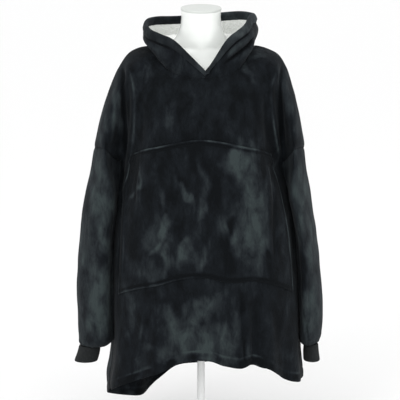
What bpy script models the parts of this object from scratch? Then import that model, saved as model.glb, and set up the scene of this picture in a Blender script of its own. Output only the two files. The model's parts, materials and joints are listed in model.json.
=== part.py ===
"""Oversized plush blanket hoodie hanging on a limbless dress form with a pole and a round base.

Every cloth piece is a wall of its own, cut as a maker would cut it and held 0.3 mm from the next
piece at each seam. Tables are in centimetres: x to the right of the form's middle as seen from the
front, y from front (minus) to back (plus), z up from the lowest point of the hem. Run on its own in
Blender; the front looks along minus Y.
"""
import math

import bpy
import numpy as np

for old in list(bpy.data.objects):
    bpy.data.objects.remove(old, do_unlink=True)

# Sizes shared by the pieces, in centimetres
CM = 0.01
HEM_ABOVE_FLOOR = 6.4
PANEL_WALL = 0.36
SLEEVE_WALL = 0.34
HOOD_WALL = 0.28
LINING_WALL = 0.4
POCKET_WALL = 0.34
CUFF_WALL = 0.3
SEAM_GAP = 0.03
HALF_GAP = SEAM_GAP / 2
ARMHOLE_GAP = 0.06
NECK_GAP = 0.06
BAND_GAP = 0.08
SPLIT_ORDER = (0.37, 0.21, 1.0)

# Grid counts
TORSO_COLUMNS = 22
ARM_COLUMNS = 7
UPPER_ROWS = 12
LOWER_ROWS = 14
SLEEVE_ROWS = 14
HOOD_COLUMNS = 16
HOOD_ROWS = 14

# Where the named lines of the body meet a row: middle, torso, valley, arm crest, shoulder seam
LINES = ("middle", "torso", "valley", "crest", "seam")
LINE_AT = {"middle": 0.0, "torso": 0.42, "valley": 1.0, "crest": 1.35, "seam": 1.7}
SEAM_AT = LINE_AT["seam"]

# Lines of the front from the neck seam, row 0, to the armhole, row 6: x outward, y, z
FRONT_LINES = {
    "middle": ((1.0, -9.6, 99.6), (1.0, -10.7, 97.2), (0.9, -11.8, 94.6), (0.6, -12.9, 91.4),
               (0.4, -13.8, 87.6), (0.1, -14.5, 83.0), (0.0, -14.9, 75.6)),
    "torso": ((7.0, -8.4, 100.8), (8.5, -9.7, 98.6), (10.2, -10.9, 95.6), (11.8, -12.0, 91.6),
              (13.0, -12.9, 86.8), (13.8, -13.5, 80.6), (14.5, -13.9, 75.4)),
    "valley": ((11.6, -6.0, 104.0), (14.6, -7.4, 102.6), (17.6, -8.1, 100.2), (19.8, -8.0, 96.4),
               (21.3, -6.0, 88.6), (22.6, -2.2, 78.2), (23.1, -0.4, 74.8)),
    "crest": ((13.3, -3.6, 106.6), (16.6, -5.2, 105.4), (19.8, -6.2, 103.2), (22.3, -6.9, 99.4),
              (24.4, -7.4, 93.6), (26.0, -7.9, 87.0), (27.3, -8.3, 79.6)),
    "seam": ((14.2, 1.0, 108.2), (17.6, 1.0, 107.7), (21.0, 0.8, 106.0), (24.0, 0.3, 101.6),
             (26.4, 0.0, 95.9), (28.9, 0.0, 89.0), (30.8, 0.0, 79.3)),
}
# Lines of the back, the same rows
BACK_LINES = {
    "middle": ((0.6, 7.6, 107.6), (0.6, 9.4, 105.0), (0.5, 10.9, 101.4), (0.4, 12.1, 96.8),
               (0.2, 13.0, 91.0), (0.1, 13.6, 84.0), (0.0, 14.0, 76.4)),
    "torso": ((7.2, 6.6, 107.9), (9.0, 8.4, 105.4), (10.8, 9.9, 101.8), (12.4, 11.1, 97.2),
              (13.4, 12.1, 91.2), (14.2, 12.8, 84.2), (14.8, 13.2, 76.2)),
    "valley": ((11.4, 4.9, 108.2), (14.4, 6.6, 106.0), (17.4, 7.6, 102.8), (19.8, 7.7, 98.2),
               (21.4, 6.3, 91.6), (22.3, 3.6, 83.4), (23.1, 0.4, 74.8)),
    "crest": ((12.9, 3.2, 108.3), (16.8, 5.0, 106.8), (20.0, 6.2, 104.2), (22.6, 6.9, 99.8),
              (24.6, 7.4, 93.8), (26.1, 7.9, 87.0), (27.4, 8.3, 79.6)),
}
# How much wider the wearer's left side hangs than the right, by row
WIDER_LEFT = {
    "middle": (0.0, 0.0, 0.0, 0.0, 0.0, 0.0, 0.0),
    "torso": (1.4, 1.3, 1.1, 0.8, 0.4, 0.2, 0.0),
    "valley": (0.8, 0.9, 0.8, 0.4, 0.2, 0.3, 0.5),
    "crest": (0.5, 0.8, 0.9, 0.5, 0.0, -0.4, -0.8),
    "seam": (0.6, 0.8, 1.0, 0.6, 0.1, -0.5, -1.0),
}

# Side seams and depth of the body below the armhole: height, x right side, x left side, front, back
BODY_SECTIONS = (
    (2.0, -26.8, 29.4, 20.0, 20.0),
    (7.0, -26.9, 29.7, 20.0, 19.6),
    (11.0, -27.0, 30.0, 19.8, 19.2),
    (16.0, -26.2, 29.6, 19.5, 18.6),
    (20.0, -25.8, 29.3, 19.3, 18.2),
    (25.0, -25.9, 29.3, 19.0, 17.8),
    (37.0, -26.1, 29.1, 18.3, 16.9),
    (52.0, -25.7, 27.8, 17.3, 15.9),
    (64.0, -24.7, 26.1, 16.1, 14.9),
    (70.0, -23.9, 25.0, 15.5, 14.4),
    (75.0, -23.1, 23.6, 14.9, 14.0),
    (80.0, -22.8, 23.2, 14.6, 13.8),
)
# Height of the hem across each panel, from the right side seam, -1, to the left one, 1
FRONT_HEM = (
    (-1.0, 7.6), (-0.8, 9.4), (-0.61, 12.2), (-0.42, 15.0), (-0.25, 17.4), (-0.14, 20.0),
    (0.0, 21.2), (0.07, 19.4), (0.16, 18.8), (0.25, 19.4), (0.35, 18.4), (0.48, 16.0),
    (0.65, 13.0), (0.85, 11.5), (1.0, 10.8),
)
BACK_HEM = (
    (-1.0, 7.6), (-0.8, 3.6), (-0.6, 1.4), (-0.42, 1.4), (-0.26, 4.8), (-0.15, 9.2),
    (0.0, 10.6), (0.2, 9.8), (0.45, 9.4), (0.75, 10.2), (1.0, 10.8),
)
# Long folds of each panel: place at the armhole, place at the hem, where it starts, half width, height
FRONT_FOLDS = (
    (-0.62, -0.74, 0.45, 0.16, 1.5),
    (-0.40, -0.46, 0.62, 0.10, -1.2),
    (-0.20, -0.17, 0.70, 0.08, -1.1),
    (-0.02, -0.03, 0.66, 0.09, 1.2),
    (0.10, 0.09, 0.78, 0.05, -0.9),
    (0.20, 0.17, 0.72, 0.07, 0.7),
    (0.22, 0.26, 0.52, 0.05, -1.2),
    (0.40, 0.40, 0.60, 0.10, 0.9),
    (0.60, 0.60, 0.66, 0.09, -1.0),
    (0.74, 0.78, 0.55, 0.12, 1.2),
)
BACK_FOLDS = (
    (-0.78, -0.74, 0.10, 0.13, 2.0),
    (-0.52, -0.50, 0.05, 0.11, -2.2),
    (-0.30, -0.28, 0.12, 0.11, 1.9),
    (-0.08, -0.05, 0.08, 0.10, -2.1),
    (0.16, 0.18, 0.14, 0.12, 1.8),
    (0.38, 0.42, 0.06, 0.11, -2.2),
    (0.62, 0.66, 0.10, 0.13, 2.2),
    (0.82, 0.86, 0.30, 0.08, -1.4),
)

# Sleeves below the armhole seam: height, outer edge, inner edge, half depth, middle of the depth
SLEEVE_SECTIONS = {
    "right": (
        (74.0, 31.7, 23.4, 8.3, 0.0), (68.0, 33.3, 23.9, 8.2, -0.1), (60.0, 34.9, 24.7, 8.0, -0.3),
        (52.0, 35.8, 25.5, 7.8, -0.5), (44.0, 36.4, 25.8, 7.6, -0.7), (37.0, 36.8, 25.9, 7.5, -0.9),
        (30.0, 36.7, 26.2, 7.3, -1.1), (26.5, 36.6, 26.1, 7.0, -1.2), (23.6, 36.4, 26.2, 6.2, -1.3),
        (21.9, 36.2, 27.2, 4.8, -1.3), (20.9, 35.9, 29.4, 3.1, -1.3),
    ),
    "left": (
        (74.0, 30.7, 23.8, 8.4, 0.0), (68.0, 31.7, 24.8, 8.6, -0.1), (60.0, 33.0, 26.0, 8.6, -0.3),
        (52.0, 34.4, 27.2, 8.6, -0.5), (44.0, 35.3, 28.0, 8.4, -0.7), (37.0, 36.0, 28.5, 8.2, -0.9),
        (30.0, 36.3, 29.2, 7.8, -1.1), (26.5, 36.1, 29.3, 7.2, -1.2), (23.8, 35.7, 29.4, 6.2, -1.3),
        (22.5, 35.1, 29.7, 4.8, -1.3), (21.5, 34.5, 30.1, 3.1, -1.3),
    ),
}
# Soft folds of a sleeve: place round it from the body side, lean to the front, top, bottom, height
SLEEVE_FOLDS = {
    "right": ((0.42, 0.10, 70.0, 24.0, 0.7), (0.70, -0.12, 60.0, 24.0, -0.6),
              (-0.45, 0.10, 72.0, 26.0, 0.8), (-0.72, 0.05, 66.0, 30.0, -0.7)),
    "left": ((0.36, 0.10, 70.0, 26.0, -0.6), (0.62, 0.10, 44.0, 22.0, -0.9),
             (-0.40, 0.08, 72.0, 26.0, 0.8), (-0.66, 0.06, 62.0, 30.0, -0.8)),
}
FOLD_ROUND = 0.16
# Where sleeve and body lie together, the line between them runs outwards to the back
SIDE_LEAN = 0.25
SIDE_CLEARANCE = 0.1
# Places round a sleeve start a little off its inner line, and its rings lie closer at top and bottom
SLEEVE_START = 0.04
ROUND_SHARE = 0.35
RING_CROWDING = 1.12
SLEEVE_BLEND = 0.22
INWARD_TURN = 0.8
# Below the armhole a panel turns from its seam's shape to the full section over this share
PANEL_BLEND = 0.3
SIDE_TURN = 0.14
FOLD_FADE = 0.12
SECTION_POWER = 0.8
LEAN_POWER = 3

# Cuffs: height, outer edge, inner edge, half depth
CUFF_SECTIONS = {
    "right": ((20.87, 35.9, 29.4, 3.1), (19.0, 36.3, 29.7, 3.1), (17.0, 37.1, 30.3, 3.2)),
    "left": ((21.47, 34.5, 30.1, 3.1), (19.4, 34.6, 30.0, 3.1), (17.2, 34.8, 30.1, 3.2)),
}
CUFF_MIDDLE = -1.3
CUFF_RIBS = 24
RIB_HEIGHT = 0.1
RIB_SHAPE = (0.0, 1.0, 1.0)

# Pouch pocket, as columns and rows of the front panel that it lies on
POCKET_COLUMN = 8
POCKET_TOP_ROW = 10
POCKET_BOTTOM_ROW = 8
POCKET_FULLNESS = 0.5

# Hood, side by side: seam line where the edge band starts, and the band's folded rim
HOOD_RIM = {
    "right": {
        "middle": ((1.1, -9.9, 100.5), (1.5, -10.4, 102.0)),
        "torso": ((6.9, -9.3, 107.0), (6.5, -8.8, 109.5)),
        "valley": ((12.2, -7.0, 109.6), (11.5, -6.2, 112.0)),
        "crest": ((15.4, -4.0, 110.9), (14.6, -3.6, 113.3)),
        "seam": ((16.4, 2.0, 112.2), (16.0, 2.0, 114.8)),
        "back crest": ((16.2, 7.2, 113.5), (15.4, 6.6, 115.9)),
        "back valley": ((14.0, 11.4, 114.1), (13.1, 10.4, 116.4)),
        "back torso": ((7.6, 14.2, 114.3), (7.2, 13.0, 116.5)),
        "back middle": ((0.2, 15.0, 114.7), (0.2, 13.8, 116.9)),
    },
    "left": {
        "middle": ((1.1, -9.9, 100.5), (1.5, -10.4, 102.0)),
        "torso": ((8.0, -9.3, 107.2), (6.6, -9.0, 109.8)),
        "valley": ((11.9, -7.2, 110.8), (10.6, -6.5, 113.2)),
        "crest": ((13.9, -4.2, 112.6), (12.9, -3.6, 115.0)),
        "seam": ((14.9, 2.0, 114.4), (14.3, 2.0, 117.0)),
        "back crest": ((16.2, 7.9, 114.9), (15.2, 7.1, 117.4)),
        "back valley": ((13.4, 11.4, 115.6), (12.3, 10.4, 117.9)),
        "back torso": ((7.2, 14.2, 115.3), (6.8, 13.0, 117.6)),
        "back middle": ((0.2, 15.0, 114.7), (0.2, 13.8, 116.9)),
    },
}
RIM_LINES = ("middle", "torso", "valley", "crest", "seam",
             "back crest", "back valley", "back torso", "back middle")
RIM_AT = (0.0, 0.42, 1.0, 1.35, 1.7, 2.05, 2.4, 2.98, 3.4)
# How far each line takes part in the hanging pouch and in the collar's roll
POUCH_OUT_SHARE = (0.0, 0.0, 0.0, 0.0, 0.03, 0.2, 0.74, 0.96, 1.0)
POUCH_DROP_SHARE = (0.0, 0.0, 0.0, 0.0, 0.0, 0.04, 0.36, 0.84, 1.0)
COLLAR_SHARE = (0.0, 0.3, 0.7, 0.8, 0.6, 0.3, 0.1, 0.0, 0.0)
# One line of the hood from the neck seam to the band: share of the way, pouch out, pouch up, roll
HOOD_PROFILE = (
    (0.00, 0.0, 0.0, 0.0), (0.06, 0.6, 1.8, 0.4), (0.12, 1.8, 2.5, 0.9), (0.20, 2.3, 1.0, 1.3),
    (0.30, 1.7, -4.7, 1.5), (0.40, 2.1, -11.4, 1.4), (0.50, 3.0, -17.4, 1.2), (0.58, 5.2, -19.7, 1.0),
    (0.68, 7.0, -16.2, 0.9), (0.80, 6.6, -10.3, 0.7), (0.91, 4.1, -4.4, 0.4), (1.00, 0.0, 0.0, 0.0),
)
POUCH_SPREAD = 0.9
POUCH_BACK = 0.3
PROFILE_REACH = 1.6
# The two halves of the hood meet at this x, at the front and at the back
HOOD_MIDDLE = {0: 1.0, -1: 0.6}
SETTLE_PASSES = 3
SETTLE_SHARE = 0.4
BAND_HALF_THICK = 0.72
BAND_SIDES = 8
BAND_SQUARENESS = 0.7

# Dress form: height, half width, half depth, forward shift of the section, squareness
FORM_SECTIONS = (
    (47.0, 14.6, 9.6, 0.0, 2.2), (48.2, 16.0, 10.8, 0.0, 2.2), (52.0, 17.0, 11.4, 0.0, 2.2),
    (60.0, 16.6, 11.0, 0.1, 2.2), (70.0, 14.2, 9.8, 0.3, 2.2), (78.0, 14.4, 10.0, 0.6, 2.2),
    (86.0, 16.8, 10.6, 1.0, 2.3), (92.0, 18.6, 10.2, 0.9, 2.4), (97.0, 19.4, 9.0, 0.4, 2.4),
    (100.0, 19.5, 8.1, 0.0, 2.3), (102.6, 19.1, 7.2, -0.5, 2.2), (104.6, 18.2, 6.4, -0.8, 2.0),
    (106.47, 17.0, 6.1, -0.9, 1.6), (107.37, 15.4, 5.9, -0.8, 1.35), (107.97, 12.4, 5.8, -0.6, 1.25),
    (108.55, 8.6, 5.7, -0.4, 1.5), (109.6, 6.8, 5.6, -0.2, 1.8), (112.4, 5.9, 5.5, 0.0, 2.0),
    (116.0, 5.65, 5.5, 0.0, 2.0), (118.4, 5.7, 5.5, 0.0, 2.0),
)
CAP_TILT = 0.16
CAP_THICK = 0.7
CAP_EDGE = 0.25
CAP_OVERHANG = 0.1
CAP_TILT_FROM = 112.0
BASE_EDGE = 0.4
FORM_SIDES = 32
POLE_SIDES = 24
POLE_RADIUS = 1.1
BASE_RADIUS = 14.0
BASE_THICK = 1.6
BASE_SIDES = 48

# Colours, roughness
FINISHES = {
    "plush": ((0.011, 0.013, 0.0135), 0.95),
    "sleeve plush": ((0.026, 0.029, 0.028), 0.95),
    "pocket plush": ((0.013, 0.0145, 0.015), 0.95),
    "band plush": ((0.03, 0.032, 0.034), 0.95),
    "sherpa": ((0.55, 0.57, 0.55), 0.98),
    "rib knit": ((0.016, 0.016, 0.017), 0.9),
    "white gloss": ((0.78, 0.79, 0.79), 0.18),
    "cap": ((0.62, 0.65, 0.62), 0.35),
    "white metal": ((0.8, 0.8, 0.8), 0.3),
}


def smooth(knots, values, at):
    """Cubic through the values at the knots; each slope is the mean of its two chords."""
    knots = np.asarray(knots, float)
    values = np.asarray(values, float)
    at = np.atleast_1d(np.asarray(at, float))
    shape = (-1,) + (1,) * (values.ndim - 1)
    chord = np.diff(values, axis=0) / np.diff(knots).reshape(shape)
    slope = np.concatenate([chord[:1], (chord[1:] + chord[:-1]) / 2, chord[-1:]])
    index = np.clip(np.searchsorted(knots, at, side="right") - 1, 0, len(knots) - 2)
    step = (knots[index + 1] - knots[index]).reshape(shape)
    t = (at - knots[index]).reshape(shape) / step
    return ((2 * t**3 - 3 * t**2 + 1) * values[index] + (t**3 - 2 * t**2 + t) * step * slope[index]
            + (3 * t**2 - 2 * t**3) * values[index + 1] + (t**3 - t**2) * step * slope[index + 1])


def column(table, place):
    """One column of a table, as the knots' heights or values."""
    return np.array([row[place] for row in table], float)


def ease(t):
    """Smooth step from 0 to 1."""
    t = np.clip(t, 0.0, 1.0)
    return t * t * (3 - 2 * t)


def unit(vectors):
    """Vectors at length one."""
    length = np.linalg.norm(vectors, axis=-1, keepdims=True)
    return vectors / np.maximum(length, 1e-9)


def finish(kind):
    """The material of one piece."""
    colour, rough = FINISHES[kind]
    material = bpy.data.materials.new(kind)
    material.use_nodes = True
    shader = material.node_tree.nodes["Principled BSDF"]
    shader.inputs["Base Color"].default_value = (*colour, 1.0)
    shader.inputs["Roughness"].default_value = rough
    material.diffuse_color = (*colour, 1.0)
    return material


def add_object(name, points, faces, kind, flat_angle=50.0):
    """One closed solid as an object; points are in centimetres above the hem's lowest point."""
    mesh = bpy.data.meshes.new(name)
    placed = np.asarray(points, float) * CM
    mesh.from_pydata(placed.tolist(), [], [list(map(int, f)) for f in faces])
    mesh.validate()
    mesh.update()
    mesh.shade_smooth()
    mesh.set_sharp_from_angle(angle=math.radians(flat_angle))
    mesh.materials.append(finish(kind))
    piece = bpy.data.objects.new(name, mesh)
    bpy.context.scene.collection.objects.link(piece)
    return piece


def corner_normals(points, quads):
    """Normals at the points: the sum of the normals of the faces round each."""
    a, b, c, d = (points[quads[:, k]] for k in range(4))
    face = np.cross(c - a, d - b)
    normals = np.zeros_like(points)
    for k in range(4):
        np.add.at(normals, quads[:, k], face)
    return unit(normals)


def wall(name, points, quads, normals, inward, outward, kind):
    """Cloth of even thickness on a surface: outer skin, inner skin and the cut edges between."""
    count = len(points)
    skin = np.concatenate([points + normals * outward, points - normals * inward])
    halves = [q[[0, 1, 2]] for q in quads] + [q[[0, 2, 3]] for q in quads]
    faces = [tuple(h) for h in halves] + [tuple(h[::-1] + count) for h in halves]
    edges = {}
    for quad in quads:
        for a, b in zip(quad, np.roll(quad, -1)):
            edges[(int(a), int(b))] = True
    # Both pieces at a seam split their cut edges the same way, so the gap between them is even
    order = points @ np.array(SPLIT_ORDER)
    for a, b in list(edges):
        if (b, a) not in edges:
            first = a + count if order[b] > order[a] else b + count
            faces.append((b, a, first))
            faces.append((b, a + count, b + count) if first == a + count else (a, a + count, b + count))
    used = np.unique(np.concatenate([np.array(f) for f in faces]))
    renumber = np.full(len(skin), -1)
    renumber[used] = np.arange(len(used))
    skin = skin[used] + np.array((0.0, 0.0, HEM_ABOVE_FLOOR))
    return add_object(name, skin, [[renumber[i] for i in f] for f in faces], kind)


def grid_quads(rows, columns, keep=None, closed=False):
    """Quads of a grid of rows by columns of points, those that keep() allows."""
    wide = columns if closed else columns - 1
    quads = []
    for r in range(rows - 1):
        for c in range(wide):
            if keep is None or keep(r, c):
                nxt = (c + 1) % columns
                quads.append((r * columns + c, (r + 1) * columns + c,
                              (r + 1) * columns + nxt, r * columns + nxt))
    return np.array(quads)


def outline_lines():
    """The body's lines in order round one row: knots and, for each of the 7 rows, a point."""
    knots, lines = [], []
    for side in (-1, 1):
        for back in (False, True):
            table = BACK_LINES if back else FRONT_LINES
            for line in LINES:
                if (back and line == "seam") or (line == "middle" and side < 0):
                    continue
                rows = np.array(table[line], float)
                if line != "middle":
                    rows[:, 0] = side * (rows[:, 0] + (np.array(WIDER_LEFT[line]) if side > 0 else 0.0))
                at = LINE_AT[line]
                knots.append(side * ((2 * SEAM_AT - at) if back else at))
                lines.append(rows)
    order = np.argsort(knots)
    knots = np.array(knots)[order]
    lines = np.array(lines)[order]
    turn = 4 * SEAM_AT
    knots = np.concatenate([knots[-3:] - turn, knots, knots[:3] + turn])
    return knots, np.concatenate([lines[-3:], lines, lines[:3]]).transpose(1, 0, 2)


LOOP_KNOTS, LOOP_ROWS = outline_lines()


def upper_points(rows, at):
    """Points of the body above the armhole, for row numbers 0 to 6 and places round it."""
    by_row = smooth(np.arange(7), LOOP_ROWS, rows)
    return smooth(LOOP_KNOTS, by_row.transpose(1, 0, 2), at).transpose(1, 0, 2)


def neck_line(at):
    """The neck seam as the straight runs between the hood's columns, shared by panels and hood."""
    knots = np.linspace(-2 * SEAM_AT, 2 * SEAM_AT, 2 * HOOD_COLUMNS + 1)
    points = upper_points(np.array([0.0]), knots)[0]
    return np.stack([np.interp(at, knots, points[:, k]) for k in range(3)], axis=-1)


def fold_height(folds, across, down):
    """Sum of the long folds: bell shaped across, growing from where each starts to the hem."""
    total = np.zeros(np.broadcast(across, down).shape)
    for top, hem, start, half_width, height in folds:
        place = top + (hem - top) * down
        grow = ease((down - start) / (1.0 - start))
        total += height * grow * np.exp(-((across - place) / half_width) ** 2)
    return total * ease((1.0 - np.abs(across)) / FOLD_FADE)


def lower_points(back, start, across, down):
    """Points of a panel below the armhole: sections between the side seams, with the folds."""
    side = 1.0 if back else -1.0
    hem = BACK_HEM if back else FRONT_HEM
    hem_z = smooth(column(hem, 0), column(hem, 1), across)
    z = start[None, :, 2] + (hem_z - start[:, 2])[None, :] * down[:, None]
    heights = column(BODY_SECTIONS, 0)
    left = smooth(heights, column(BODY_SECTIONS, 1), z.ravel()).reshape(z.shape)
    right = smooth(heights, column(BODY_SECTIONS, 2), z.ravel()).reshape(z.shape)
    deep = smooth(heights, column(BODY_SECTIONS, 4 if back else 3), z.ravel()).reshape(z.shape)
    middle, half = (left + right) / 2, (right - left) / 2
    turn = across[None, :] * math.pi / 2
    round_x = middle + half * np.sign(turn) * np.abs(np.sin(turn)) ** SECTION_POWER
    round_y = side * deep * np.maximum(np.cos(turn), 0.0) ** SECTION_POWER
    first_half = (start[-1, 0] - start[0, 0]) / 2
    first_middle = (start[-1, 0] + start[0, 0]) / 2
    same_x = middle + (start[None, :, 0] - first_middle) * half / first_half
    same_y = start[None, :, 1] * deep / np.abs(start[:, 1]).max()
    blend = ease(down / PANEL_BLEND)[:, None]
    x = same_x * (1 - blend) + round_x * blend
    y = same_y * (1 - blend) + round_y * blend
    x = x + SIDE_LEAN * y * np.sign(across) * np.abs(across) ** LEAN_POWER * blend
    lift = fold_height(BACK_FOLDS if back else FRONT_FOLDS, across[None, :], down[:, None])
    x = x + lift * np.sin(turn)
    y = y + side * lift * np.cos(turn)
    return np.stack([x, y, z], axis=-1)


def panel_grid(back):
    """Points, columns and kept quads of the front or back panel, arm parts included."""
    arm = np.linspace(1.0, SEAM_AT, ARM_COLUMNS + 1)
    torso = np.linspace(-1.0, 1.0, TORSO_COLUMNS + 1)
    place = np.concatenate([-arm[::-1], torso[1:-1], arm])
    at = place if not back else 2 * SEAM_AT - place
    rows = np.linspace(0.0, 6.0, UPPER_ROWS + 1)
    at = np.where(at > 2 * SEAM_AT, at - 4 * SEAM_AT, at)
    upper = upper_points(rows, at)
    upper[0] = neck_line(at)
    down = np.linspace(0.0, 1.0, LOWER_ROWS + 1)
    inner = slice(ARM_COLUMNS, ARM_COLUMNS + TORSO_COLUMNS + 1)
    lower = np.repeat(upper[-1:], LOWER_ROWS, axis=0)
    lower[:, inner] = lower_points(back, upper[-1, inner], place[inner], down)[1:]
    return np.concatenate([upper, lower]), place, down


def make_panel(name, back):
    """Front or back panel, and the grid and normals that the pieces sewn to it use."""
    side = 1.0 if back else -1.0
    points, place, down = panel_grid(back)
    rows, columns = points.shape[:2]
    torso_from, torso_to = ARM_COLUMNS, ARM_COLUMNS + TORSO_COLUMNS

    def keep(r, c):
        return r < UPPER_ROWS or torso_from <= c < torso_to

    quads = grid_quads(rows, columns, keep)
    if back:
        quads = quads[:, [0, 3, 2, 1]]
    flat = points.reshape(-1, 3)
    normals = corner_normals(flat, quads).reshape(points.shape)
    # The shoulder seam stays in its own plane, so front and back never meet
    for c in (0, columns - 1):
        points[:UPPER_ROWS + 1, c, 1] += side * HALF_GAP
        normals[:UPPER_ROWS + 1, c, 1] = 0.0
    # The armhole's edge is cut level, as the sleeve's is
    arm = np.r_[0:torso_from + 1, torso_to:columns]
    normals[UPPER_ROWS, arm, 2] = 0.0
    # Down the side seam the wall turns from lying against the other panel to lying across it
    turn = (1 - ease(down / SIDE_TURN)) * math.pi / 2
    for c, out in ((torso_from, -1.0), (torso_to, 1.0)):
        points[UPPER_ROWS:, c, 1] = side * (HALF_GAP + PANEL_WALL * np.sin(turn))
        normals[UPPER_ROWS:, c, 0] = out * np.cos(turn)
        normals[UPPER_ROWS:, c, 1] = side * np.sin(turn)
        normals[UPPER_ROWS:, c, 2] = 0.0
    normals = unit(normals)
    wall(name, points.reshape(-1, 3), quads, normals.reshape(-1, 3), PANEL_WALL, 0.0, "plush")
    return points, normals


def make_sleeve(name, side, front, back):
    """Tube from the armhole loop of both panels down to the cuff."""
    key = "left" if side > 0 else "right"
    (front_points, front_normals), (back_points, back_normals) = front, back
    arm = np.arange(ARM_COLUMNS + 1)
    picks = arm[::-1] if side < 0 else arm + ARM_COLUMNS + TORSO_COLUMNS
    ring = np.concatenate([front_points[UPPER_ROWS, picks], back_points[UPPER_ROWS, picks[::-1]][1:]])
    ring_normals = np.concatenate([front_normals[UPPER_ROWS, picks],
                                   back_normals[UPPER_ROWS, picks[::-1]][1:]])
    ring = ring.copy()
    ring[:, 2] -= ARMHOLE_GAP
    ring[ARM_COLUMNS, 1] = 0.0
    for end in (0, -1):
        ring_normals[end] = unit(np.array((-side * INWARD_TURN, ring_normals[end, 1], 0.0)))
        ring[end, 0] += side * SEAM_GAP
    table = SLEEVE_SECTIONS[key]
    count = len(ring)
    half_way = np.linspace(SLEEVE_START, 1.0, ARM_COLUMNS + 1)
    way = np.concatenate([half_way, -half_way[-2::-1]])
    angle = way * math.pi
    even = np.linspace(0, 1, SLEEVE_ROWS + 1)
    share = ROUND_SHARE * (1 - np.cos(even * math.pi / 2)) + (1 - ROUND_SHARE) * even
    share = 1 - (1 - share) ** RING_CROWDING
    bottom = table[-1][0]
    rings = [ring]
    heights = column(table, 0)[::-1]
    side_seam = np.abs(front_points[UPPER_ROWS:, ARM_COLUMNS + (TORSO_COLUMNS if side > 0 else 0)])[::-1]
    for s in share[1:]:
        z = ring[:, 2] + (bottom - ring[:, 2]) * s
        outer, inner, deep, mid = (smooth(heights, column(table, k)[::-1], z) for k in (1, 2, 3, 4))
        # The sleeve lies along the body's side seam and never inside it
        inner = np.maximum(inner, np.interp(z, side_seam[:, 2], side_seam[:, 0]) + SIDE_CLEARANCE)
        lift = np.zeros(count)
        for at, lean, top, low, height in SLEEVE_FOLDS[key]:
            along = np.clip((top - z) / (top - low), 0.0, 1.0)
            place = at + lean * along
            lift += height * np.sin(along * math.pi) * np.exp(-((way - place) / FOLD_ROUND) ** 2)
        half = (outer - inner) / 2
        flat_half = np.sqrt(np.maximum(half**2 - (SIDE_LEAN * deep)**2, 1.0))
        x = side * ((outer + inner) / 2 - (flat_half + lift) * np.cos(angle))
        y = mid - (deep + lift) * np.sin(angle)
        blend = ease(np.array(s / SLEEVE_BLEND))
        start_half = (np.abs(ring[:, 0]).max() - np.abs(ring[:, 0]).min()) / 2
        start_mid = (np.abs(ring[:, 0]).max() + np.abs(ring[:, 0]).min()) / 2
        same_x = side * ((outer + inner) / 2 + (np.abs(ring[:, 0]) - start_mid) * half / start_half)
        same_y = mid + ring[:, 1] * deep / np.abs(ring[:, 1]).max()
        y = same_y * (1 - blend) + y * blend
        x = same_x * (1 - blend) + x * blend + side * SIDE_LEAN * y * blend
        rings.append(np.stack([x, y, z], axis=-1))
    points = np.array(rings)
    quads = grid_quads(len(rings), count, closed=True)
    if side < 0:
        quads = quads[:, [0, 3, 2, 1]]
    normals = corner_normals(points.reshape(-1, 3), quads).reshape(points.shape)
    normals[0] = ring_normals
    normals[-1, :, 2] = 0.0
    normals = unit(normals)
    wall(name, points.reshape(-1, 3), quads, normals.reshape(-1, 3), SLEEVE_WALL, 0.0, "sleeve plush")


def make_cuff(name, side):
    """Ribbed band: an even inside with ribs raised on the outside."""
    key = "left" if side > 0 else "right"
    table = CUFF_SECTIONS[key]
    round_count = CUFF_RIBS * len(RIB_SHAPE)
    angle = np.arange(round_count) * 2 * math.pi / round_count
    rib = np.tile(RIB_SHAPE, CUFF_RIBS) * RIB_HEIGHT
    rings = []
    for z, outer, inner, deep in table:
        half = (outer - inner) / 2
        rings.append(np.stack([side * (outer + inner) / 2 + half * np.cos(angle),
                               CUFF_MIDDLE + deep * np.sin(angle), np.full(round_count, z)], axis=-1))
    points = np.array(rings)
    quads = grid_quads(len(rings), round_count, closed=True)
    quads = quads[:, ::-1]
    normals = corner_normals(points.reshape(-1, 3), quads)
    normals[:, 2] = 0.0
    normals = unit(normals)
    # The table gives the top of the ribs, so the skin starts under them
    skin = points.reshape(-1, 3) - normals * (RIB_HEIGHT - np.tile(rib, len(rings)))[:, None]
    count = len(skin)
    inside = points.reshape(-1, 3) - normals * (RIB_HEIGHT + CUFF_WALL)
    both = np.concatenate([skin, inside]) + np.array((0.0, 0.0, HEM_ABOVE_FLOOR))
    faces = [tuple(q) for q in quads] + [tuple(q[::-1] + count) for q in quads]
    last = (len(rings) - 1) * round_count
    for c in range(round_count):
        nxt = (c + 1) % round_count
        top = (c, nxt, nxt + count, c + count)
        low = (last + nxt, last + c, last + c + count, last + nxt + count)
        faces += [top[::-1], low[::-1]]
    add_object(name, both, faces, "rib knit")


def make_pocket(name, front):
    """Pouch pocket: the front panel's own points, moved out, fullest in the middle."""
    points, normals = front
    middle = ARM_COLUMNS + TORSO_COLUMNS // 2
    columns = slice(middle - POCKET_COLUMN, middle + POCKET_COLUMN + 1)
    rows = slice(POCKET_TOP_ROW, UPPER_ROWS + POCKET_BOTTOM_ROW + 1)
    base = points[rows, columns]
    out = normals[rows, columns]
    tall, wide = base.shape[:2]
    full = np.outer(np.sin(np.linspace(0, math.pi, tall)), np.sin(np.linspace(0, math.pi, wide)))
    lifted = base + out * (SEAM_GAP + full[..., None] * POCKET_FULLNESS)
    quads = grid_quads(tall, wide)
    wall(name, lifted.reshape(-1, 3), quads, out.reshape(-1, 3), 0.0, POCKET_WALL, "pocket plush")


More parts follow.
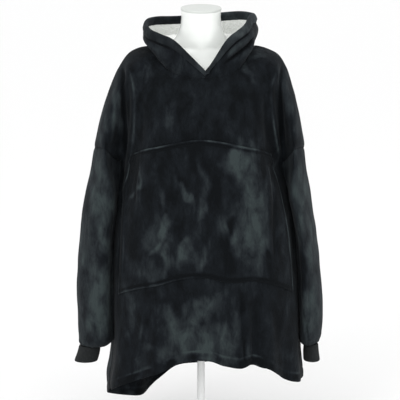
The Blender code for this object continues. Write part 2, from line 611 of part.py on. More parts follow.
def hood_grid(side):
    """Points of one half of the hood from the neck seam to the edge band, and its rim."""
    key = "left" if side > 0 else "right"
    at = np.linspace(0.0, 2 * SEAM_AT, HOOD_COLUMNS + 1)
    neck = neck_line(side * at)
    ends = np.array([HOOD_RIM[key][line] for line in RIM_LINES], float)
    ends[:, :, 0] *= np.where(np.isin(RIM_LINES, ("middle", "back middle")), 1.0, side)[:, None]
    ends = smooth(RIM_AT, ends, at)
    seam, rim = ends[:, 0], ends[:, 1]
    pouch = smooth(RIM_AT, POUCH_OUT_SHARE, at)
    drop = smooth(RIM_AT, POUCH_DROP_SHARE, at)
    roll = smooth(RIM_AT, COLLAR_SHARE, at)
    turn = at / (2 * SEAM_AT) * math.pi
    # The pouch hangs backwards; the collar rolls away from the neck
    back = unit(np.stack([side * POUCH_SPREAD * np.sin(turn) * (1 - pouch),
                          np.maximum(-np.cos(turn), POUCH_BACK), np.zeros_like(turn)], axis=-1))
    away = unit(np.stack([side * np.sin(turn), -np.cos(turn), np.zeros_like(turn)], axis=-1))
    profile = np.array(HOOD_PROFILE)
    steps = np.linspace(0, len(profile) - 1, HOOD_ROWS + 1)
    share, out, up, collar = smooth(np.arange(len(profile)), profile, steps).T
    even = np.linspace(0.0, 1.0, HOOD_ROWS + 1)
    share = even[:, None] + (share - even)[:, None] * ease(drop * PROFILE_REACH)[None]
    points = neck[None] * (1 - share)[..., None] + seam[None] * share[..., None]
    points = points + back[None] * (out[:, None] * pouch[None])[..., None]
    points[..., 2] += up[:, None] * drop[None]
    points = points + away[None] * (collar[:, None] * roll[None])[..., None]
    # Behind the shoulders each inner point settles towards the middle of its neighbours
    behind = SETTLE_SHARE * ease((at - LINE_AT["valley"]) / SEAM_AT * 2)
    for _ in range(SETTLE_PASSES):
        near = (points[:-2, 1:-1] + points[2:, 1:-1] + points[1:-1, :-2] + points[1:-1, 2:]) / 4
        points[1:-1, 1:-1] += behind[None, 1:-1, None] * (near - points[1:-1, 1:-1])
    return points, seam, rim


def make_hood(side):
    """One half of the hood, outer cloth and lining, kept off the other half."""
    key = "left" if side > 0 else "right"
    points, seam, rim = hood_grid(side)
    quads = grid_quads(*points.shape[:2])
    if side > 0:
        quads = quads[:, [0, 3, 2, 1]]
    normals = corner_normals(points.reshape(-1, 3), quads).reshape(points.shape)
    for c, middle_x in HOOD_MIDDLE.items():
        points[:, c, 0] = middle_x + side * HALF_GAP
        normals[:, c, 0] = 0.0
    points[0, :, 2] += NECK_GAP
    # Towards its upper edge the wall turns square to the band that closes it
    tall = unit(rim - seam)
    turned = (np.linspace(0.0, 1.0, HOOD_ROWS + 1) ** 2)[:, None, None]
    normals = unit(normals - turned * tall * np.sum(normals * tall, axis=-1, keepdims=True))
    normals[:, [0, -1], 0] = 0.0
    normals = unit(normals)
    flat, out = points.reshape(-1, 3), normals.reshape(-1, 3)
    wall("hood_%s" % key, flat, quads, out, HOOD_WALL, 0.0, "plush")
    inner = HOOD_WALL + SEAM_GAP
    wall("hood_lining_%s" % key, flat - out * inner, quads, out, LINING_WALL, 0.0, "sherpa")
    inset = normals[-1] * (HOOD_WALL + SEAM_GAP + LINING_WALL) / 2
    return points[-1] - inset, rim - inset


def make_band(name, right, left):
    """Padded edge band: a flattened tube on the rim, closed at the front V."""
    seam = np.concatenate([left[0], right[0][-2:0:-1]])
    rim = np.concatenate([left[1], right[1][-2:0:-1]])
    tall = unit(rim - seam)
    low = seam + tall * BAND_GAP
    centre, half = (low + rim) / 2, np.linalg.norm(rim - low, axis=-1) / 2
    along = unit(np.roll(centre, -1, axis=0) - np.roll(centre, 1, axis=0))
    along[0] = (1.0, 0.0, 0.0)
    thick = unit(np.cross(along, tall))
    angle = np.arange(BAND_SIDES) * 2 * math.pi / BAND_SIDES + math.pi / BAND_SIDES
    squash = np.abs(np.cos(angle)) ** BAND_SQUARENESS * np.sign(np.cos(angle))
    square = np.abs(np.sin(angle)) ** BAND_SQUARENESS * np.sign(np.sin(angle))
    scale = 1 / np.abs(squash).max()
    points = (centre[:, None] + tall[:, None] * (half[:, None] * squash[None] * scale)[..., None]
              + thick[:, None] * (BAND_HALF_THICK * square)[None, :, None])
    count = len(centre)
    flat = points.reshape(-1, 3) + np.array((0.0, 0.0, HEM_ABOVE_FLOOR))
    faces = []
    for r in range(count):
        here, after = r * BAND_SIDES, (r + 1) % count * BAND_SIDES
        for c in range(BAND_SIDES):
            nxt = (c + 1) % BAND_SIDES
            faces.append((here + c, here + nxt, after + nxt, after + c))
    a, b, c, d = (flat[[f[k] for f in faces]] for k in range(4))
    centres = np.repeat(centre, BAND_SIDES, axis=0) + np.array((0.0, 0.0, HEM_ABOVE_FLOOR))
    if np.sum(np.cross(c - a, d - b) * ((a + b) / 2 - centres)) < 0:
        faces = [f[::-1] for f in faces]
    add_object(name, flat, faces, "band plush")


def stacked(name, rings, kind, lift=0.0, flat_angle=40.0):
    """Closed solid through rings of equal count, with flat ends."""
    count = len(rings[0])
    points = np.concatenate(rings) + np.array((0.0, 0.0, lift))
    faces = [tuple(range(count))[::-1], tuple(range((len(rings) - 1) * count, len(rings) * count))]
    for r in range(len(rings) - 1):
        for c in range(count):
            nxt = (c + 1) % count
            faces.append((r * count + c, r * count + nxt, (r + 1) * count + nxt, (r + 1) * count + c))
    return add_object(name, points, faces, kind, flat_angle)


def ring(z, half_x, half_y, middle_y=0.0, square=2.0, sides=BASE_SIDES, tilt=0.0):
    """One level ring, counter-clockwise from above; tilt lowers its front."""
    angle = np.arange(sides) * 2 * math.pi / sides
    c, s = np.cos(angle), np.sin(angle)
    x = half_x * np.sign(c) * np.abs(c) ** (2 / square)
    y = middle_y + half_y * np.sign(s) * np.abs(s) ** (2 / square)
    return np.stack([x, y, z + tilt * y], axis=-1)


def make_form():
    """Torso with its neck, the cap, the pole and the base."""
    top_z = FORM_SECTIONS[-1][0]
    rings = []
    for z, half_x, half_y, shift, square in FORM_SECTIONS:
        tilt = CAP_TILT * ease(np.array((z - CAP_TILT_FROM) / (top_z - CAP_TILT_FROM)))
        rings.append(ring(z, half_x, half_y, -shift, square, FORM_SIDES, tilt))
    stacked("form_torso", rings, "white gloss", HEM_ABOVE_FLOOR)
    half_x = FORM_SECTIONS[-1][1] + CAP_OVERHANG
    half_y = FORM_SECTIONS[-1][2] + CAP_OVERHANG
    low = top_z + SEAM_GAP
    cap = [ring(low, half_x, half_y, 0.0, 2.0, FORM_SIDES, CAP_TILT),
           ring(low + CAP_THICK - CAP_EDGE, half_x, half_y, 0.0, 2.0, FORM_SIDES, CAP_TILT),
           ring(low + CAP_THICK, half_x - CAP_EDGE, half_y - CAP_EDGE, 0.0, 2.0, FORM_SIDES, CAP_TILT)]
    stacked("form_neck_cap", cap, "cap", HEM_ABOVE_FLOOR)
    torso_bottom = FORM_SECTIONS[0][0] + HEM_ABOVE_FLOOR
    narrow = BASE_RADIUS - BASE_EDGE
    base = [ring(0.0, narrow, narrow), ring(BASE_EDGE, BASE_RADIUS, BASE_RADIUS),
            ring(BASE_THICK - BASE_EDGE, BASE_RADIUS, BASE_RADIUS), ring(BASE_THICK, narrow, narrow)]
    stacked("stand_base", base, "white metal")
    pole = [ring(BASE_THICK + SEAM_GAP, POLE_RADIUS, POLE_RADIUS, sides=POLE_SIDES),
            ring(torso_bottom - SEAM_GAP, POLE_RADIUS, POLE_RADIUS, sides=POLE_SIDES)]
    stacked("stand_pole", pole, "white metal")


front_panel = make_panel("front_panel", False)
back_panel = make_panel("back_panel", True)
make_sleeve("sleeve_right", -1.0, front_panel, back_panel)
make_sleeve("sleeve_left", 1.0, front_panel, back_panel)
make_cuff("cuff_right", -1.0)
make_cuff("cuff_left", 1.0)
make_pocket("pocket", front_panel)
make_band("hood_edge_band", make_hood(-1.0), make_hood(1.0))
make_form()
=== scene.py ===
# %% [markdown]
# # A plush blanket hoodie on a white dress form
# The garment is one warm thing cut from a few big pieces of flannel fleece: front, back, sleeves,
# a pouch pocket, rib cuffs and a lined hood. Here each cut piece is one smooth surface, worked out
# from a short table of sizes, given the thickness of cloth and laid on the solid that carries it.

# %% Load the fixed frame
import json
import math

import bpy
import numpy as np
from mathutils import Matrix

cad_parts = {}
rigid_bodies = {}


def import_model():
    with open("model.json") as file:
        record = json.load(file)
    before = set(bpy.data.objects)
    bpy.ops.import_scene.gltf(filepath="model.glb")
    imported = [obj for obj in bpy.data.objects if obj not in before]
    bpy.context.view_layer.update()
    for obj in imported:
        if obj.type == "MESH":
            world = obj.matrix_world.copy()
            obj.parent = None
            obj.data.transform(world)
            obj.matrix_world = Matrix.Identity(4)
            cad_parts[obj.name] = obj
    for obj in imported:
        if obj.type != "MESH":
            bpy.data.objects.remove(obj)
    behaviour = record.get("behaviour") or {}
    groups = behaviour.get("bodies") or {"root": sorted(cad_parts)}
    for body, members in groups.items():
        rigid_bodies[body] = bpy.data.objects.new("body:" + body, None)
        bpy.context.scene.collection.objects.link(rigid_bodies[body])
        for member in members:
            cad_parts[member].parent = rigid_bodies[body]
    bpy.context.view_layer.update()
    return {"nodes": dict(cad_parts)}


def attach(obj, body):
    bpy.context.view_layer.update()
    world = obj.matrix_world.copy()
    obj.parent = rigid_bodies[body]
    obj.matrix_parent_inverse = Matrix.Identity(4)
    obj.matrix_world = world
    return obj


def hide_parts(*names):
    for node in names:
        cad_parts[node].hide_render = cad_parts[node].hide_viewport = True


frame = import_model()
print("solids:", ", ".join(sorted(frame["nodes"])))

# %% [markdown]
# ## Tools for shapes
# A table of sizes gives a few points; a cubic through them gives every point between. All lengths
# below are in centimetres above the hem's lowest point, and one place turns them into metres.

# %% Curves through tables
CM = 0.01
HEM_ABOVE_FLOOR = 6.4


def smooth(knots, values, at):
    """Cubic through the values at the knots; each slope is the mean of its two chords."""
    knots, values = np.asarray(knots, float), np.asarray(values, float)
    at = np.asarray(at, float)
    shape = at.shape + (1,) * (values.ndim - 1)
    tall = (-1,) + (1,) * (values.ndim - 1)
    chord = np.diff(values, axis=0) / np.diff(knots).reshape(tall)
    slope = np.concatenate([chord[:1], (chord[1:] + chord[:-1]) / 2, chord[-1:]])
    index = np.clip(np.searchsorted(knots, at, side="right") - 1, 0, len(knots) - 2)
    step = (knots[index + 1] - knots[index]).reshape(shape)
    t = (at - knots[index]).reshape(shape) / step
    return ((2 * t**3 - 3 * t**2 + 1) * values[index] + (t**3 - 2 * t**2 + t) * step * slope[index]
            + (3 * t**2 - 2 * t**3) * values[index + 1] + (t**3 - t**2) * step * slope[index + 1])


def ease(t):
    """Smooth step: 3t squared minus 2t cubed, held at 0 and 1 outside."""
    t = np.clip(t, 0.0, 1.0)
    return t * t * (3 - 2 * t)


def bell(t):
    """One at the middle, falling away as e to the minus t squared."""
    return np.exp(-np.square(t))


def unit(vectors):
    """Each vector divided by its length."""
    return vectors / np.maximum(np.linalg.norm(vectors, axis=-1, keepdims=True), 1e-9)


# %% [markdown]
# Real cloth is never quite even. A lattice of seeded random numbers, eased between its cells, gives
# slow swells that are the same on every run.

# %% Soft uneven swells
LATTICE = np.random.default_rng(11).uniform(-1, 1, (32, 32, 32))


def swell(points, cell, tall=1.0):
    """Lattice values at the eight corners round each point, mixed by eased distance; tall stretches z."""
    place = points / (cell * np.array((1.0, 1.0, tall))) + 100.0
    base = np.floor(place).astype(int)
    t = ease(place - base)
    total = np.zeros(points.shape[:-1])
    for corner in range(8):
        step = np.array([corner & 1, corner >> 1 & 1, corner >> 2 & 1])
        pick = (base + step) % 32
        share = np.prod(np.where(step == 1, t, 1 - t), axis=-1)
        total += share * LATTICE[pick[..., 0], pick[..., 1], pick[..., 2]]
    return total


# %% [markdown]
# ## From a grid of points to cloth
# A piece of cloth is an outer skin, an inner skin a few millimetres inside it and a narrow edge
# between them. Both skins come from one grid, so the thickness is the same everywhere. Each point
# also carries a number that says how far the pile there is brushed up, with painted highlight on
# ridges and raised edges and painted shade in grooves and under edges added to it.

# %% Grid, normals and cloth
def grid_faces(rows, columns, closed=False):
    """Faces of a grid: point r, c with its neighbours down and across; closed joins the last column."""
    wide = columns if closed else columns - 1
    r, c = np.meshgrid(np.arange(rows - 1), np.arange(wide), indexing="ij")
    nxt = (c + 1) % columns
    faces = np.stack([r * columns + c, (r + 1) * columns + c, (r + 1) * columns + nxt, r * columns + nxt], -1)
    return faces.reshape(-1, 4)


def point_normals(points, faces):
    """At each point the sum of the cross products of the diagonals of the faces round it."""
    flat = points.reshape(-1, 3)
    a, b, c, d = (flat[faces[:, k]] for k in range(4))
    across = np.cross(c - a, d - b)
    normals = np.zeros_like(flat)
    for k in range(4):
        np.add.at(normals, faces[:, k], across)
    return unit(normals).reshape(points.shape)


def put_mesh(name, points, faces, material, nap=None):
    """Points in centimetres above the hem become one mesh object in metres."""
    mesh = bpy.data.meshes.new(name)
    flat = np.asarray(points, float).reshape(-1, 3)
    mesh.from_pydata(((flat + (0, 0, HEM_ABOVE_FLOOR)) * CM).tolist(), [], np.asarray(faces).tolist())
    if nap is not None:
        layer = mesh.attributes.new("nap", "FLOAT", "POINT")
        layer.data.foreach_set("value", np.asarray(nap, np.float32).ravel())
    mesh.materials.append(material)
    mesh.shade_smooth()
    piece = bpy.data.objects.new(name, mesh)
    bpy.context.scene.collection.objects.link(piece)
    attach(piece, "root")
    print("%s: %d faces" % (name, len(mesh.polygons)))
    return piece


def cloth(name, points, faces, thick, material, nap=None, normals=None):
    """Outer skin, inner skin at points minus normal times thick, and faces round every open edge."""
    normals = point_normals(points, faces) if normals is None else normals
    count = points.reshape(-1, 3).shape[0]
    both = np.concatenate([points.reshape(-1, 3), (points - normals * thick).reshape(-1, 3)])
    edges = faces[:, [[0, 1], [1, 2], [2, 3], [3, 0]]].reshape(-1, 2)
    open_edge = ~np.isin(edges[:, 0] * count + edges[:, 1], edges[:, 1] * count + edges[:, 0])
    a, b = edges[open_edge].T
    rim = np.stack([b, a, a + count, b + count], axis=-1)
    every = np.concatenate([faces, faces[:, ::-1] + count, rim])
    used, compact = np.unique(every, return_inverse=True)
    nap = np.zeros(count) if nap is None else np.broadcast_to(nap, points.shape[:-1]).ravel()
    return put_mesh(name, both[used], compact.reshape(-1, 4), material, np.concatenate([nap, nap])[used])


def skin_area(points, faces):
    """Square metres of one skin: half the cross product of each face's diagonals, summed."""
    flat = points.reshape(-1, 3)[faces] * CM
    return float(np.linalg.norm(np.cross(flat[:, 2] - flat[:, 0], flat[:, 3] - flat[:, 1]), axis=1).sum() / 2)


# %% [markdown]
# ## Tools for finishes
# Colours are the hex values that a screen shows. One function turns them into the linear light
# that a shader works in, and one adds a node with its settings and links.

# %% Colour and nodes
def colour(code):
    """Hex sRGB to linear: divided by 12.92 near black, otherwise the 2.4 power curve."""
    value = np.array([int(code[k:k + 2], 16) for k in (1, 3, 5)]) / 255
    linear = np.where(value <= 0.04045, value / 12.92, ((value + 0.055) / 1.055) ** 2.4)
    return (*linear.tolist(), 1.0)


def add(material, kind, settings=(), links=()):
    """One node of a kind; settings name its properties, sockets or ramp stops, links join sockets to it."""
    node = material.node_tree.nodes.new(kind)
    for key, value in dict(settings).items():
        if key == "stops":
            for place, _ in value[1:-1]:
                node.color_ramp.elements.new(place)
            for element, (place, code) in zip(node.color_ramp.elements, value):
                element.position, element.color = place, colour(code)
        elif isinstance(key, str) and hasattr(node, key):
            setattr(node, key, value)
        else:
            node.inputs[key].default_value = value
    for key, source in dict(links).items():
        material.node_tree.links.new(source, node.inputs[key])
    return node


def finish(name, **sockets):
    """A material with its one shader, whose even values are set on the shader itself."""
    material = bpy.data.materials.new(name)
    material.use_nodes = True
    shader = material.node_tree.nodes["Principled BSDF"]
    for key, value in sockets.items():
        shader.inputs[key.replace("_", " ")].default_value = value
    return material, shader


# %% [markdown]
# ## Flannel fleece
# The cloth is polyester flannel fleece: a knit whose brushed pile lies one way or another, so the
# same dye looks nearly black where the pile leans away and charcoal where it is brushed up. The
# number on each point gives the big handled patches and the painted highlight and painted shade
# on folds and edges, a stretched noise breaks up their borders, and the pile itself is a bump.
# Sheen is the light that catches the tips of the fibres at the edges.

# %% Flannel fleece material
PILE_MM = 4.0        # real pile is 3 mm; drawn a little coarser so that it shows
CRUSH_MM = 38.0      # size of the marks that hands leave in the nap


def flannel(name, dark, middle, light, brushed):
    """Base colour by the point number (nap with painted highlight and shade) plus noise, which grows with it; bump from
    crushed marks and the pile.
    """
    material, shader = finish(name, Roughness=0.92, Sheen_Weight=0.05, Sheen_Roughness=0.5,
                              Specular_IOR_Level=0.1)
    shader.inputs["Sheen Tint"].default_value = colour("#c4ccd2")
    place = add(material, "ShaderNodeTexCoord").outputs["Object"]
    tall = add(material, "ShaderNodeMapping", {"Scale": (1.0, 1.0, 0.45)}, {"Vector": place}).outputs[0]
    crush = add(material, "ShaderNodeTexNoise",
                {"Scale": 1000 / CRUSH_MM, "Detail": 5.0, "Roughness": 0.62, "Distortion": 0.9}, {"Vector": tall})
    pile = add(material, "ShaderNodeTexNoise", {"Scale": 1000 / PILE_MM, "Detail": 3.0, "Roughness": 0.7},
               {"Vector": tall})
    nap = add(material, "ShaderNodeAttribute", {"attribute_name": "nap"}).outputs["Fac"]
    small = add(material, "ShaderNodeTexNoise",
                {"Scale": 3000 / CRUSH_MM, "Detail": 4.0, "Roughness": 0.6, "Distortion": 0.6}, {"Vector": tall})
    marks = add(material, "ShaderNodeMath", {"operation": "MULTIPLY_ADD", 1: 1.3, 2: -0.865},
                {0: crush.outputs["Fac"]}).outputs[0]
    marks = add(material, "ShaderNodeMath", {"operation": "MULTIPLY_ADD", 1: 0.7},
                {0: small.outputs["Fac"], 2: marks}).outputs[0]
    gain = add(material, "ShaderNodeMath", {"operation": "MULTIPLY_ADD", 1: 1.1, 2: 0.5}, {0: nap}).outputs[0]
    both = add(material, "ShaderNodeMath", {"operation": "MULTIPLY_ADD"}, {0: marks, 1: gain, 2: nap}).outputs[0]
    tips = add(material, "ShaderNodeMath", {"operation": "MULTIPLY_ADD", 1: 0.24, 2: -0.12},
               {0: pile.outputs["Fac"]}).outputs[0]
    level = add(material, "ShaderNodeMath", {"operation": "ADD", "use_clamp": True}, {0: both, 1: tips}).outputs[0]
    tone = add(material, "ShaderNodeValToRGB",
               {"stops": ((0.0, dark), (0.24, middle), (0.52, light), (0.9, brushed))}, {"Fac": level})
    material.node_tree.links.new(tone.outputs["Color"], shader.inputs["Base Color"])
    low = add(material, "ShaderNodeBump", {"Strength": 0.45, "Distance": 0.006}, {"Height": crush.outputs["Fac"]})
    high = add(material, "ShaderNodeBump", {"Strength": 0.6, "Distance": 0.0025},
               {"Height": pile.outputs["Fac"], "Normal": low.outputs[0]})
    material.node_tree.links.new(high.outputs[0], shader.inputs["Normal"])
    return material


FLANNEL = flannel("flannel fleece, brushed and crushed, painted light on folds", "#070a0d", "#12161a", "#22272a", "#323a3b")
BAND_FLEECE = flannel("flannel fleece, brushed over wadding, painted side shade", "#14181b", "#1d2124", "#282d30", "#383e40")
print("made", FLANNEL.name, "and", BAND_FLEECE.name)

# %% [markdown]
# ## The body's lines
# A hoodie this wide hangs in a few clear lines: down the middle, over the chest, in the valley
# beside the arm, on the crest of the arm and along the shoulder seam. Each line is a row of points
# from the neck seam to the armhole, and a closed cubic round the body joins them.

# %% Tables of the body above the armhole
LINE_AT = {"middle": 0.0, "torso": 0.42, "valley": 1.0, "crest": 1.35, "seam": 1.7}
SEAM_AT = LINE_AT["seam"]
FRONT_LINES = {
    "middle": ((1.0, -9.6, 99.6), (1.0, -10.7, 97.2), (0.9, -11.8, 94.6), (0.6, -12.9, 91.4),
               (0.4, -13.8, 87.6), (0.1, -14.5, 83.0), (0.0, -14.9, 75.6)),
    "torso": ((7.0, -8.4, 100.8), (8.5, -9.7, 98.6), (10.2, -10.9, 95.6), (11.8, -12.0, 91.6),
              (13.0, -12.9, 86.8), (13.8, -13.5, 80.6), (14.5, -13.9, 75.4)),
    "valley": ((11.6, -6.0, 104.0), (14.6, -7.4, 102.6), (17.6, -8.1, 100.2), (19.8, -8.0, 96.4),
               (21.3, -6.0, 88.6), (22.6, -2.2, 78.2), (23.1, -0.4, 74.8)),
    "crest": ((13.3, -3.6, 106.6), (16.6, -5.2, 105.4), (19.8, -6.2, 103.2), (22.3, -6.9, 99.4),
              (24.4, -7.4, 93.6), (26.0, -7.9, 87.0), (27.3, -8.3, 79.6)),
    "seam": ((14.2, 1.0, 108.2), (17.6, 1.0, 107.7), (21.0, 0.8, 106.0), (24.0, 0.3, 101.6),
             (26.4, 0.0, 95.9), (28.9, 0.0, 89.0), (30.8, 0.0, 79.3)),
}
BACK_LINES = {
    "middle": ((0.6, 7.6, 107.6), (0.6, 9.4, 105.0), (0.5, 10.9, 101.4), (0.4, 12.1, 96.8),
               (0.2, 13.0, 91.0), (0.1, 13.6, 84.0), (0.0, 14.0, 76.4)),
    "torso": ((7.2, 6.6, 107.9), (9.0, 8.4, 105.4), (10.8, 9.9, 101.8), (12.4, 11.1, 97.2),
              (13.4, 12.1, 91.2), (14.2, 12.8, 84.2), (14.8, 13.2, 76.2)),
    "valley": ((11.4, 4.9, 108.2), (14.4, 6.6, 106.0), (17.4, 7.6, 102.8), (19.8, 7.7, 98.2),
               (21.4, 6.3, 91.6), (22.3, 3.6, 83.4), (23.1, 0.4, 74.8)),
    "crest": ((12.9, 3.2, 108.3), (16.8, 5.0, 106.8), (20.0, 6.2, 104.2), (22.6, 6.9, 99.8),
              (24.6, 7.4, 93.8), (26.1, 7.9, 87.0), (27.4, 8.3, 79.6)),
}
# The wearer's left side hangs this much wider than the right, by row
WIDER_LEFT = {
    "torso": (1.4, 1.3, 1.1, 0.8, 0.4, 0.2, 0.0),
    "valley": (0.8, 0.9, 0.8, 0.4, 0.2, 0.3, 0.5),
    "crest": (0.5, 0.8, 0.9, 0.5, 0.0, -0.4, -0.8),
    "seam": (0.6, 0.8, 1.0, 0.6, 0.1, -0.5, -1.0),
}


# %% The lines as one closed loop
def body_loop():
    """Knots round the body and, for each of 7 rows, a point at each knot, repeated past both ends."""
    knots, lines = [], []
    for side in (-1, 1):
        for back, table in ((False, FRONT_LINES), (True, BACK_LINES)):
            for line, rows in table.items():
                if line == "middle" and side < 0:
                    continue
                rows = np.array(rows)
                wider = np.array(WIDER_LEFT.get(line, np.zeros(7))) if side > 0 else 0.0
                if line != "middle":
                    rows[:, 0] = side * (rows[:, 0] + wider)
                knots.append(side * ((2 * SEAM_AT - LINE_AT[line]) if back else LINE_AT[line]))
                lines.append(rows)
    order = np.argsort(knots)
    knots, lines = np.array(knots)[order], np.array(lines)[order]
    turn = 4 * SEAM_AT
    knots = np.concatenate([knots[-3:] - turn, knots, knots[:3] + turn])
    return knots, np.concatenate([lines[-3:], lines, lines[:3]]).transpose(1, 0, 2)


LOOP_KNOTS, LOOP_ROWS = body_loop()


def upper_points(rows, at):
    """Cubic down the rows first, then cubic round the body."""
    by_row = smooth(np.arange(7), LOOP_ROWS, rows)
    return smooth(LOOP_KNOTS, by_row.transpose(1, 0, 2), at).transpose(1, 0, 2)


print("lines round the body:", len(LOOP_KNOTS) - 6)

# %% [markdown]
# ## The skirt of the body
# Below the armhole the body is a tube that widens to the hem. Its section is a rounded oval between
# the side seams, and long folds grow out of it on the way down. The front hem arches up in the
# middle while the back hem hangs lower, as the weight of the pocket pulls the cloth.

# %% Tables of the body below the armhole
BODY_SECTIONS = np.array((   # height, right side, left side, front depth, back depth
    (2.0, -26.8, 29.4, 20.0, 20.0), (7.0, -26.9, 29.7, 20.0, 19.6), (11.0, -27.0, 30.0, 19.8, 19.2),
    (16.0, -26.2, 29.6, 19.5, 18.6), (20.0, -25.8, 29.3, 19.3, 18.2), (25.0, -25.9, 29.3, 19.0, 17.8),
    (37.0, -26.1, 29.1, 18.3, 16.9), (52.0, -25.7, 27.8, 17.3, 15.9), (64.0, -24.7, 26.1, 16.1, 14.9),
    (70.0, -23.9, 25.0, 15.5, 14.4), (75.0, -23.1, 23.6, 14.9, 14.0), (80.0, -22.8, 23.2, 14.6, 13.8)))
FRONT_HEM = np.array((       # place from side seam to side seam, height
    (-1.0, 7.6), (-0.8, 9.4), (-0.61, 12.2), (-0.42, 15.0), (-0.25, 17.4), (-0.14, 20.0), (0.0, 21.2),
    (0.07, 19.4), (0.16, 18.8), (0.25, 19.4), (0.35, 18.4), (0.48, 16.0), (0.65, 13.0), (0.85, 11.5),
    (1.0, 10.8)))
BACK_HEM = np.array((
    (-1.0, 7.6), (-0.8, 3.6), (-0.6, 1.4), (-0.42, 1.4), (-0.26, 4.8), (-0.15, 9.2), (0.0, 10.6),
    (0.2, 9.8), (0.45, 9.4), (0.75, 10.2), (1.0, 10.8)))
FRONT_FOLDS = (              # place at the armhole, at the hem, start, half width, height
    (-0.62, -0.74, 0.45, 0.16, 1.5), (-0.40, -0.46, 0.62, 0.10, -1.2), (-0.20, -0.17, 0.70, 0.08, -1.1),
    (-0.02, -0.03, 0.66, 0.09, 1.2), (0.10, 0.09, 0.78, 0.05, -0.9), (0.20, 0.17, 0.72, 0.07, 0.7),
    (0.22, 0.26, 0.52, 0.05, -1.2), (0.40, 0.40, 0.60, 0.10, 0.9), (0.60, 0.60, 0.66, 0.09, -1.0),
    (0.74, 0.78, 0.55, 0.12, 1.2))
BACK_FOLDS = (
    (-0.78, -0.74, 0.10, 0.13, 2.0), (-0.52, -0.50, 0.05, 0.11, -2.2), (-0.30, -0.28, 0.12, 0.11, 1.9),
    (-0.08, -0.05, 0.08, 0.10, -2.1), (0.16, 0.18, 0.14, 0.12, 1.8), (0.38, 0.42, 0.06, 0.11, -2.2),
    (0.62, 0.66, 0.10, 0.13, 2.2), (0.82, 0.86, 0.30, 0.08, -1.4))
SIDE_LEAN = 0.25             # where sleeve and body lie together, the line between them runs outwards


# %% Points of the skirt
def fold_height(folds, across, down):
    """Sum of bells across, each growing from where its fold starts to the hem."""
    total = np.zeros(np.broadcast(across, down).shape)
    for top, hem, start, half_width, height in folds:
        place = top + (hem - top) * down
        total += height * ease((down - start) / (1 - start)) * bell((across - place) / half_width)
    return total * ease((1 - np.abs(across)) / 0.12)


def lower_points(back, start, across, down):
    """Rounded sections between the side seams, blended from the armhole row's own shape."""
    side, hem = (1.0, BACK_HEM) if back else (-1.0, FRONT_HEM)
    hem_z = smooth(hem[:, 0], hem[:, 1], across)
    z = start[None, :, 2] + (hem_z - start[:, 2])[None, :] * down[:, None]
    right, left, deep = (smooth(BODY_SECTIONS[:, 0], BODY_SECTIONS[:, k], z) for k in (1, 2, 4 if back else 3))
    middle, half, turn = (right + left) / 2, (left - right) / 2, across[None, :] * math.pi / 2
    round_x = middle + half * np.sign(turn) * np.abs(np.sin(turn)) ** 0.8
    round_y = side * deep * np.maximum(np.cos(turn), 0.0) ** 0.8
    top_right, top_left, top_deep = (smooth(BODY_SECTIONS[:, 0], BODY_SECTIONS[:, k], start[:, 2])
                                     for k in (1, 2, 4 if back else 3))
    same_x = middle + (start[:, 0] - (top_right + top_left) / 2) * half / ((top_left - top_right) / 2)
    same_y = start[:, 1] * deep / top_deep
    blend = ease(down / 0.3)[:, None]
    y = same_y * (1 - blend) + round_y * blend
    x = same_x * (1 - blend) + round_x * blend + SIDE_LEAN * y * np.sign(across) * np.abs(across) ** 3 * blend
    lift = fold_height(BACK_FOLDS if back else FRONT_FOLDS, across[None, :], down[:, None])
    return np.stack([x + lift * np.sin(turn), y + side * lift * np.cos(turn), z], axis=-1)


def panel_points(back, place, row):
    """Rows 0 to 6 are the part above the armhole, 6 to 7 the skirt, where only places up to 1 count.

    Rows near the sixth move towards the mean of the rows beside them, so no edge shows there.
    """
    at = np.sign(place) * (2 * SEAM_AT - np.abs(place)) if back else place
    at = np.where(back & (place == 0), 2 * SEAM_AT, at)
    points = np.empty((len(row), len(place), 3))
    high = row <= 6
    points[high] = upper_points(row[high], at)
    inner = np.abs(place) <= 1 + 1e-9
    start = upper_points(np.array([6.0]), at[inner])[0]
    points[~high] = points[high][-1]
    points[np.ix_(~high, inner)] = lower_points(back, start, place[inner], row[~high] - 6)
    near = (0.5 * bell((row[1:-1] - 6) / 0.3))[:, None, None]
    for _ in range(14):
        points[1:-1, inner] += near * ((points[:-2, inner] + points[2:, inner]) / 2 - points[1:-1, inner])
    return points
